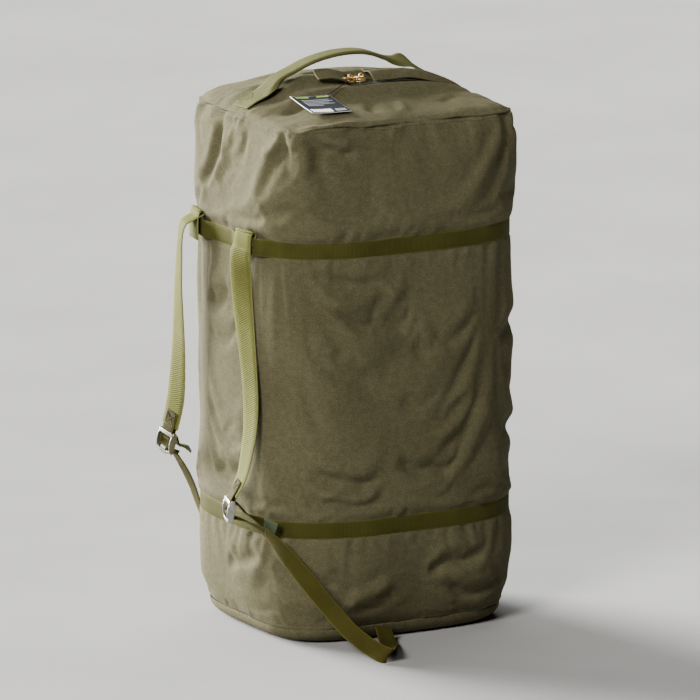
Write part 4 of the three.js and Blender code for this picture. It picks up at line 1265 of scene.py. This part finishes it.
def carry_handle():
    """One length of webbing: sewn flat at both ends, folded lengthwise between them."""
    def above(x, y, lift):
        return (x, y, float(panel_height(x, y)) + lift)

    keys = [
        above(-177, 19.5, 1.6), above(-160, 20.8, 1.7), above(-142, 22.0, 2.4),
        (-129, 23.5, 791), (-119, 25, 799.5), (-91, 28, 810), (-62, 31, 819.8), (-18, 35, 827.0),
        (24, 38.5, 826.4), (49, 42, 820.5), (80, 46, 808.5), (100, 48.5, 803.0), (114, 50, 800.0),
        above(131, 52, 7.5), above(148, 54, 3.0), above(176, 57.5, 1.6),
    ]
    count = 220
    rows = spline(keys, count)
    x = rows[:, 0]
    share = smooth((x + 142) / 40) * smooth((112 - x) / 46)
    lean = 0.04 * smooth((x + 142) / 50) * smooth((110 - x) / 60) + 0.45 * hill(x - 114, 26)
    side = np.stack([np.full(count, -0.1), np.full(count, 0.995), lean], axis=1)
    sections = [folded_section(WIDE, 1.9, 0.96 * part) for part in share]
    outlines = np.array([outline for outline, _ in sections])
    places = sections[-1][1]
    nodes = ["handle_end_left", "handle_end_right", "handle_grip"]
    piece = sweep("carry_handle", rows[:, :3], side, outlines, places, HANDLE_WEBBING, None, nodes)
    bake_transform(piece)

    def sewn_line(name, ends, steps=12):
        (x0, y0), (x1, y1) = ends
        t = np.linspace(0, 1, steps)
        px, py = mix(x0, x1, t), mix(y0, y1, t)
        path = np.stack([px, py, panel_height(px, py) + 2.65], axis=1)
        up = np.broadcast_to(Z_AXIS, path.shape)
        stitches(name, path, up, LIGHT_THREAD, "bag", 3.6, 2.6, 0.36)

    boxes = (("left", -171, -147, 20.2, 22.0), ("right", 171, 146, 57.0, 53.8))
    for label, near, far, y_near, y_far in boxes:
        half = WIDE / 2 - 3
        skew = 0.1 * half
        a, b = (near + skew, y_near - half), (near - skew, y_near + half)
        c, d = (far - skew, y_far + half), (far + skew, y_far - half)
        for k, ends in enumerate(((a, b), (b, c), (c, d), (d, a), (a, c), (b, d))):
            sewn_line(f"handle_stitch_{label}_{k}", ends)


# ------------------------------------------------------------------ backpack straps


TURN_RADIUS = 5.4


def shoulder_strap(name):
    """The tab behind the upper band, and the strap that turns over the band and hangs outside it."""
    middle, axis = pivot(f"strap_{name}_swing")
    side = -axis
    out = unit(np.cross(side, -Z_AXIS))

    def key(angle, radius, drop=0.0):
        a = math.radians(angle)
        place = middle + out * radius * math.cos(a) + Z_AXIS * (radius * math.sin(a) - drop)
        return (*place, *side)

    inner = TURN_RADIUS - 2.1
    tab = [key(180, TURN_RADIUS, 38), key(180, TURN_RADIUS, 20), key(180, TURN_RADIUS - 0.6, 6)]
    tab += [key(angle, inner) for angle in (165, 135, 105, 75)]
    strip(f"strap_tab_{name}_webbing", tab, WIDE, 1.9, STRAP_WEBBING, 26, "bag", [f"strap_tab_{name}"])
    keys = [key(angle, TURN_RADIUS) for angle in (128, 100, 72, 45, 20, 0)]
    keys += [(x, y, z, *facing(turn)) for x, y, z, turn in STRAP_LINES[name]]
    node, count = f"shoulder_strap_{name}", 260
    strip(node + "_webbing", keys, WIDE, 1.9, STRAP_WEBBING, count, f"strap_{name}", [node])
    rows = spline(keys, 200)
    return rows[-1, :3], unit(rows[-1, :3] - rows[-3, :3]), unit(rows[-1, 3:6])


def buckle_loop(name, end, down, side):
    """The narrow loop sewn to both faces of the strap's end, round the buckle's top bar."""
    side = unit(side - down * np.dot(side, down))
    out = np.cross(down, side)
    bar, _ = pivot(f"buckle_{name}_turn")
    drop = float(np.dot(bar - end, down))
    leg = 2.8
    keys = []
    for along in (-22, -11, 0, drop - 2.5):
        keys.append((*(end + down * along + out * leg * (0.72 if along < 0 else 1)), *side))
    for angle in (30, 60, 90, 120, 150):
        a = math.radians(angle)
        keys.append((*(end + down * (drop + 2.4 * math.sin(a)) + out * leg * math.cos(a)), *side))
    for along in (drop - 2.5, 0, -11, -22):
        keys.append((*(end + down * along - out * leg * (0.72 if along < 0 else 1)), *side))
    node = f"buckle_loop_{name}"
    strip(node + "_webbing", keys, NARROW, 1.5, LOWER_WEBBING, 70, f"strap_{name}", [node])
    half, top, low = NARROW / 2 - 2.5, -20, -2
    corners = [(top, -half), (top, half), (low, half), (low, -half)]
    lines = [(0, 1), (1, 2), (2, 3), (3, 0), (0, 2), (1, 3)]
    for k, (i, j) in enumerate(lines):
        t = np.linspace(0, 1, 8)
        along, across = mix(corners[i][0], corners[j][0], t), mix(corners[i][1], corners[j][1], t)
        path = end + along[:, None] * down + across[:, None] * side + out * 2.85
        up = np.broadcast_to(out, path.shape)
        row = f"loop_stitch_{name}_{k}"
        stitches(row, path, up, DARK_THREAD, f"strap_{name}", 2.4, 2.2, 0.55, 0.3)


# Which way each buckle hangs from its top bar.
BUCKLE_DOWN = {"near": (-0.095, 0.092, -0.991), "far": (-0.122, 0.195, -0.973)}
BUCKLE_WIDTH, BUCKLE_HEIGHT = 33.0, 37.5
BUCKLE_BARS = (0.0, 11.5, 23.0)
BUCKLE_SIZE = 0.88  # the drawn frame against the figures above and below, along the strap
BUCKLE_RUN = 62.0  # how much of the lower strap beyond the buckle goes in the length beside it


def buckle_frame(name):
    """Top bar, and the directions across, down and outward from the bag."""
    place, axis = pivot(f"buckle_{name}_turn")
    down = np.array(BUCKLE_DOWN[name])
    down = unit(down - axis * np.dot(down, axis))
    return place, axis, down, np.cross(down, axis)


def buckle(name):
    """The pressed steel frame: two lens-shaped sides, a top plate, three bars and a curved lip."""
    place, across, down, out = buckle_frame(name)
    lens = [(-2.0, -2.6), (2.4, -2.2), (5.0, 4), (5.8, 12), (5.4, 21), (3.6, 30), (0.4, 35.8), (-1.8, 35.4),
            (-3.6, 28), (-4.6, 18), (-4.4, 8), (-3.4, 1)]
    lens = spline([(px, py, 0) for px, py in lens + lens[:1]], 48)[:-1, :2]
    # The lens lies in the plane of outward and down; its thickness runs across.
    cheek, matrix = plate(lens, 1.7, 0.7), [Z_AXIS, Y_AXIS, X_AXIS]
    parts = [turned(cheek, matrix, (edge * (BUCKLE_WIDTH / 2 - 0.9), 0, 0)) for edge in (-1, 1)]
    for bar in BUCKLE_BARS:
        parts.append(rod((-BUCKLE_WIDTH / 2 + 1, bar, 0), (BUCKLE_WIDTH / 2 - 1, bar, 0), 1.25))
    cover = turned(plate(rounded_box(BUCKLE_WIDTH - 0.6, 6.4, 2.2), 1.5, 0.7), np.eye(3), (0, 1.4, 4.9))
    t = np.linspace(0, math.pi, 17)
    tongue = [(BUCKLE_WIDTH / 2 - 1.2) * np.cos(t), 30.2 + 7.6 * np.sin(t)]
    inside = [(BUCKLE_WIDTH / 2 - 3.4) * np.cos(t[::-1]), 28.6 + 3.0 * np.sin(t[::-1])]
    lip = np.vstack([np.stack(tongue, axis=1), np.stack(inside, axis=1)])
    parts += [cover, turned(plate(lip, 1.5, 0.6), np.eye(3), (0, 0, 2.4))]
    points, faces = gather(parts)
    # The bow of the pressed frame: its middle stands out from its top and its lip.
    bow = 1.6 * np.sin(math.pi * np.clip(points[:, 1] / BUCKLE_HEIGHT, 0, 1))
    raised = points[:, 2:] + bow[:, None] * (points[:, 2:] > 2)
    world = place + points[:, :1] * across + points[:, 1:2] * BUCKLE_SIZE * down + raised * out
    make(f"buckle_{name}_steel", world, faces, NICKEL, f"buckle_{name}", None, [f"buckle_{name}"])


# The lower straps on the bag's side of their buckles: the hemmed free end, and the run to the base.
LOWER_ENDS = {
    "near": [(-202, -132, 172, 0.15, -0.3, 0.9), (-212, -109, 181, -0.3, -0.4, 0.8),
             (-226, -84, 192, -0.55, -0.8, 0.2)],
    "far": [(-203, 128, 241, 0, 0.95, 0.3), (-213, 130, 247, 0, 1, 0.1), (-224, 131, 251, 0, 1, 0)],
}
LOWER_RUNS = {
    "near": [
        (-227, -88, 180, -0.55, -0.8, 0.2), (-210, -120, 166, -0.3, -0.55, 0.75),
        (-190, -153, 132, 0.35, -0.35, 0.85), (-172, -184, 98, 0.70, -0.25, 0.66),
        (-139, -236, 40, 0.73, -0.25, 0.64), (-120, -268, 19, 0.68, -0.28, 0.68),
        (-112, -286, 13, 0.62, -0.33, 0.72), (-105, -290, 12, 0.6, -0.33, 0.72),
        (-99, -282, 11.5, 0.6, -0.33, 0.7), (-82, -252, 9, 0.8, -0.35, 0.45),
        (-60, -212, 5, 0.93, -0.3, 0.1), (-50, -184, 8, 1, -0.1, 0), (-46, -168, 20, 1, 0, 0),
    ],
    "far": [
        (-224, 134, 236, 0, 1, 0.1), (-202, 146, 208, -0.3, 0.8, 0.4), (-168, 176, 160, -0.35, 0.5, 0.75),
        (-138, 206, 104, 0, 0.4, 0.85), (-108, 224, 52, 0.7, 0.2, 0.6), (-78, 222, 16, 0.95, 0.1, 0.25),
        (-58, 200, 4, 1, 0.1, 0), (-50, 184, 8, 1, 0, 0), (-46, 168, 20, 1, 0, 0),
    ],
}


def lower_strap(name):
    """The narrow strap: its hemmed free end, over the buckle's cross bars, and away to the bottom seam."""
    place, across, down, out = buckle_frame(name)

    def local(along, off):
        return (*(place + down * along * BUCKLE_SIZE + out * off), *across)

    over_first = [(4.6, -7), (7.2, -1.4), (9.1, 2.1), (11.5, 3.1), (13.9, 2.1), (17.2, 0.4)]
    over_second = [(20.6, 2.1), (23, 3.1), (25.4, 2.1), (27.4, -1.4), (29.4, -7)]
    woven = [local(along, off) for along, off in over_first + over_second]
    keys = LOWER_ENDS[name] + woven + LOWER_RUNS[name]
    rows = spline(keys, 420)
    outline = flat_section(NARROW, 1.5)
    start = place + down * BUCKLE_BARS[-1]
    reach = np.linalg.norm(rows[:, :3] - start, axis=1)
    cut = len(rows) - 1 - int(np.argmax(reach[::-1] < BUCKLE_RUN))
    node = f"lower_strap_{name}"

    def length_of_strap(label, part):
        piece, flat = f"{node}_{label}", outline[:, 0]
        centre, side = part[:, :3], part[:, 3:6]
        return sweep(piece, centre, side, outline, flat, LOWER_WEBBING, None, [node])

    # The strap is cut in two at the split: the length beside the buckle, and the run to the base.
    beside = length_of_strap("beside_buckle", rows[: cut + 1])
    away = length_of_strap("to_base", rows[cut:])
    fold = spline(LOWER_ENDS[name], 30)[:12]
    hem = strip(f"lower_strap_{name}_hem", fold, NARROW + 0.5, 3.6, HEM_WEBBING, 16)
    for piece in (beside, hem):
        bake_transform(piece)
    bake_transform(away)


# ------------------------------------------------------------------ retail tag

TAG_WIDTH, TAG_LENGTH = 62.0, 82.0


def tag_point(u, v, lift=0.0):
    """A place on the card: u towards its right edge, v towards its upper edge, from the card's middle."""
    turn, tilt = math.radians(-5.6), math.radians(6)
    curl = 2.2 * np.clip(-u / 31, 0, 1) ** 2 + 0.9 * (v / 41) ** 2
    x, y, z = u, v, curl + lift + 0 * u
    y, z = y * math.cos(tilt) - z * math.sin(tilt), y * math.sin(tilt) + z * math.cos(tilt)
    x, y = x * math.cos(turn) - y * math.sin(turn), x * math.sin(turn) + y * math.cos(turn)
    return np.stack([x - 98, y - 77, z + 776.4], axis=-1)


def tag_patch(name, left, right, low, high, lift, thickness, material, body="tag", replaces=()):
    u, v = np.meshgrid(np.linspace(left, right, 24), np.linspace(low, high, 24), indexing="ij")
    outer = tag_point(u, v, lift)
    normals = grid_normals(outer)
    points, faces = shell(outer, thickness, normals)
    return make(name, points, faces, material, body, flat_places(u, v), replaces)


def hang_tag():
    """The retail card, with plain blocks where its print would be."""
    half_w, half_l = TAG_WIDTH / 2, TAG_LENGTH / 2
    tag_patch("tag_back", -half_w, half_w, -half_l, half_l, 0.2, 0.5, CARD_EDGE, replaces=["hang_tag"])
    tag_patch("tag_face", -half_w + 0.9, half_w - 0.9, -half_l + 0.9, half_l - 0.9, 0.45, 0.3, CARD)
    tag_patch("tag_header_left", -24, -4, 33, 36.5, 0.62, 0.2, CARD_GREEN)
    tag_patch("tag_header_right", 8, 25, 33, 36.5, 0.62, 0.2, CARD_GREEN)
    for k in range(5):
        short = (4, 0, 9, 2, 22)[k]
        tag_patch(f"tag_line_{k}", -20, 26 - short, 21 - 6.2 * k, 23.6 - 6.2 * k, 0.62, 0.2, CARD_GREY)
    tag_patch("tag_block_large", -26, 6, -37, -22, 0.62, 0.2, CARD_WHITE)
    tag_patch("tag_block_small", 11, 27, -35, -24, 0.62, 0.2, CARD_GREY)
    hole = tag_point(np.array(26.0), np.array(36.0), 0.5)
    points, faces = hoop(hole, (0.05, -0.1, 1), 1.9, 0.35, 20)
    make("tag_eyelet", points, faces, CARD_WHITE, "tag")
    return hole


STRING_DIAMETER = 1.4


def tag_string(hole):
    """The black string from the lower slider's eye to the card's corner."""
    place, _ = pivot("pull_lower_turn")
    start = place + np.array([-10.6 - SLIDER_BACK, -4.9, 0.4])
    end = hole + np.array([0, 0, 0.9])
    slack = [mix(start, end, 0.3) + [0, 0, 2.0], mix(start, end, 0.7) + [0, 0, 1.2]]
    rows = spline([start, *slack, end], 24)
    data = bpy.data.curves.new("tag_string_cord", "CURVE")
    data.dimensions = "3D"
    data.bevel_depth = STRING_DIAMETER / 2 * MM
    data.bevel_resolution = 4
    data.resolution_u = 4
    line = data.splines.new("POLY")
    line.points.add(len(rows) - 1)
    for point, row in zip(line.points, rows):
        point.co = (*(row * MM), 1)
    data.materials.append(STRING)
    cord = bpy.data.objects.new("tag_string_cord", data)
    bpy.context.scene.collection.objects.link(cord)
    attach(cord, "slider_lower")
    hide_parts("tag_string")


def seam_stitches():
    """Top stitching beside the seams of the top and the bottom panels."""
    distance = np.linspace(14, GIRTH - 14, 400)
    angle = angle_at(distance)
    path, normals = wall_frame(angle, TOP_SEAM - 6.0)
    stitches("top_seam_stitch", path, normals, DARK_THREAD, "bag", 4.4, 3.0, 0.34)
    path, normals = wall_frame(angle, BOTTOM_SEAM + 5.0)
    stitches("bottom_seam_stitch", path, normals, DARK_THREAD, "bag", 4.4, 3.0, 0.34)


# ------------------------------------------------------------------ build

drape_wall()
body_wrap()
top_panel()
bottom_panel()
seam_stitches()
for band_name in BAND:
    band(band_name)
zip_pieces()
storm_flap()
zip_tongue()
for slider_name, slider_x in SLIDER_X.items():
    slider_pieces(slider_name, slider_x)
carry_handle()
for strap_name in ("near", "far"):
    strap_end = shoulder_strap(strap_name)
    buckle_loop(strap_name, *strap_end)
    buckle(strap_name)
    lower_strap(strap_name)
tag_string(hang_tag())

# ------------------------------------------------------------------ camera, light and floor

AIM = Vector((-0.0057, 0.0032, 0.3916))
AZIMUTH, ELEVATION = math.radians(-29), math.radians(12.5)
FOCAL_MM, SENSOR_MM, FIELD = 600, 36, 1.0145


def studio():
    scene = bpy.context.scene
    level = math.cos(ELEVATION)
    away = Vector((math.sin(AZIMUTH) * level, -math.cos(AZIMUTH) * level, math.sin(ELEVATION)))
    camera = bpy.data.objects.new("camera", bpy.data.cameras.new("camera"))
    camera.data.lens = FOCAL_MM
    camera.data.sensor_width = SENSOR_MM
    camera.data.clip_end = 90
    camera.location = AIM + away * (FIELD * FOCAL_MM / SENSOR_MM)
    camera.rotation_euler = (-away).to_track_quat("-Z", "Y").to_euler()
    scene.collection.objects.link(camera)
    scene.camera = camera

    world = bpy.data.worlds.new("studio")
    world.use_nodes = True
    background = world.node_tree.nodes["Background"]
    background.inputs["Color"].default_value = (1.0, 0.995, 0.985, 1)
    background.inputs["Strength"].default_value = 0.012
    scene.world = world

    right = Vector((math.cos(AZIMUTH), math.sin(AZIMUTH), 0))
    toward = Vector((math.sin(AZIMUTH), -math.cos(AZIMUTH), 0))
    lamps = (
        ("key", right * -0.9 + toward * -0.74 + Vector((0, 0, 0.25)), 27.0, 32, (1.0, 0.99, 0.95)),
        ("front", right * -0.44 + toward * 0.76 + Vector((0, 0, 0.58)), 3.9, 18, (1.0, 0.96, 0.90)),
        ("top", right * -0.06 + toward * -0.40 + Vector((0, 0, 1.0)), 1.7, 44, (1.0, 1.0, 0.98)),
    )
    for name, place, power, spread, color in lamps:
        light = bpy.data.lights.new(name, "SUN")
        light.energy = power
        light.angle = math.radians(spread)
        light.color = color
        lamp = bpy.data.objects.new(name, light)
        lamp.location = place
        lamp.rotation_euler = (-place).to_track_quat("-Z", "Y").to_euler()
        scene.collection.objects.link(lamp)

    shader = Shader("floor", 0.9)
    speck = shader.noise(shader.place(), 3.0, 2.0, 0.5)
    shader.finish(shader.blend(shader.span(speck, 0.3, 0.7), (0.30, 0.30, 0.30, 1), (0.34, 0.34, 0.34, 1)))
    reach, level = 30000, -0.6
    corners = [(-reach, -reach, level), (reach, -reach, level), (reach, reach, level), (-reach, reach, level)]
    floor = make("floor", np.array(corners, float), [(0, 1, 2, 3)], shader.material)


studio()
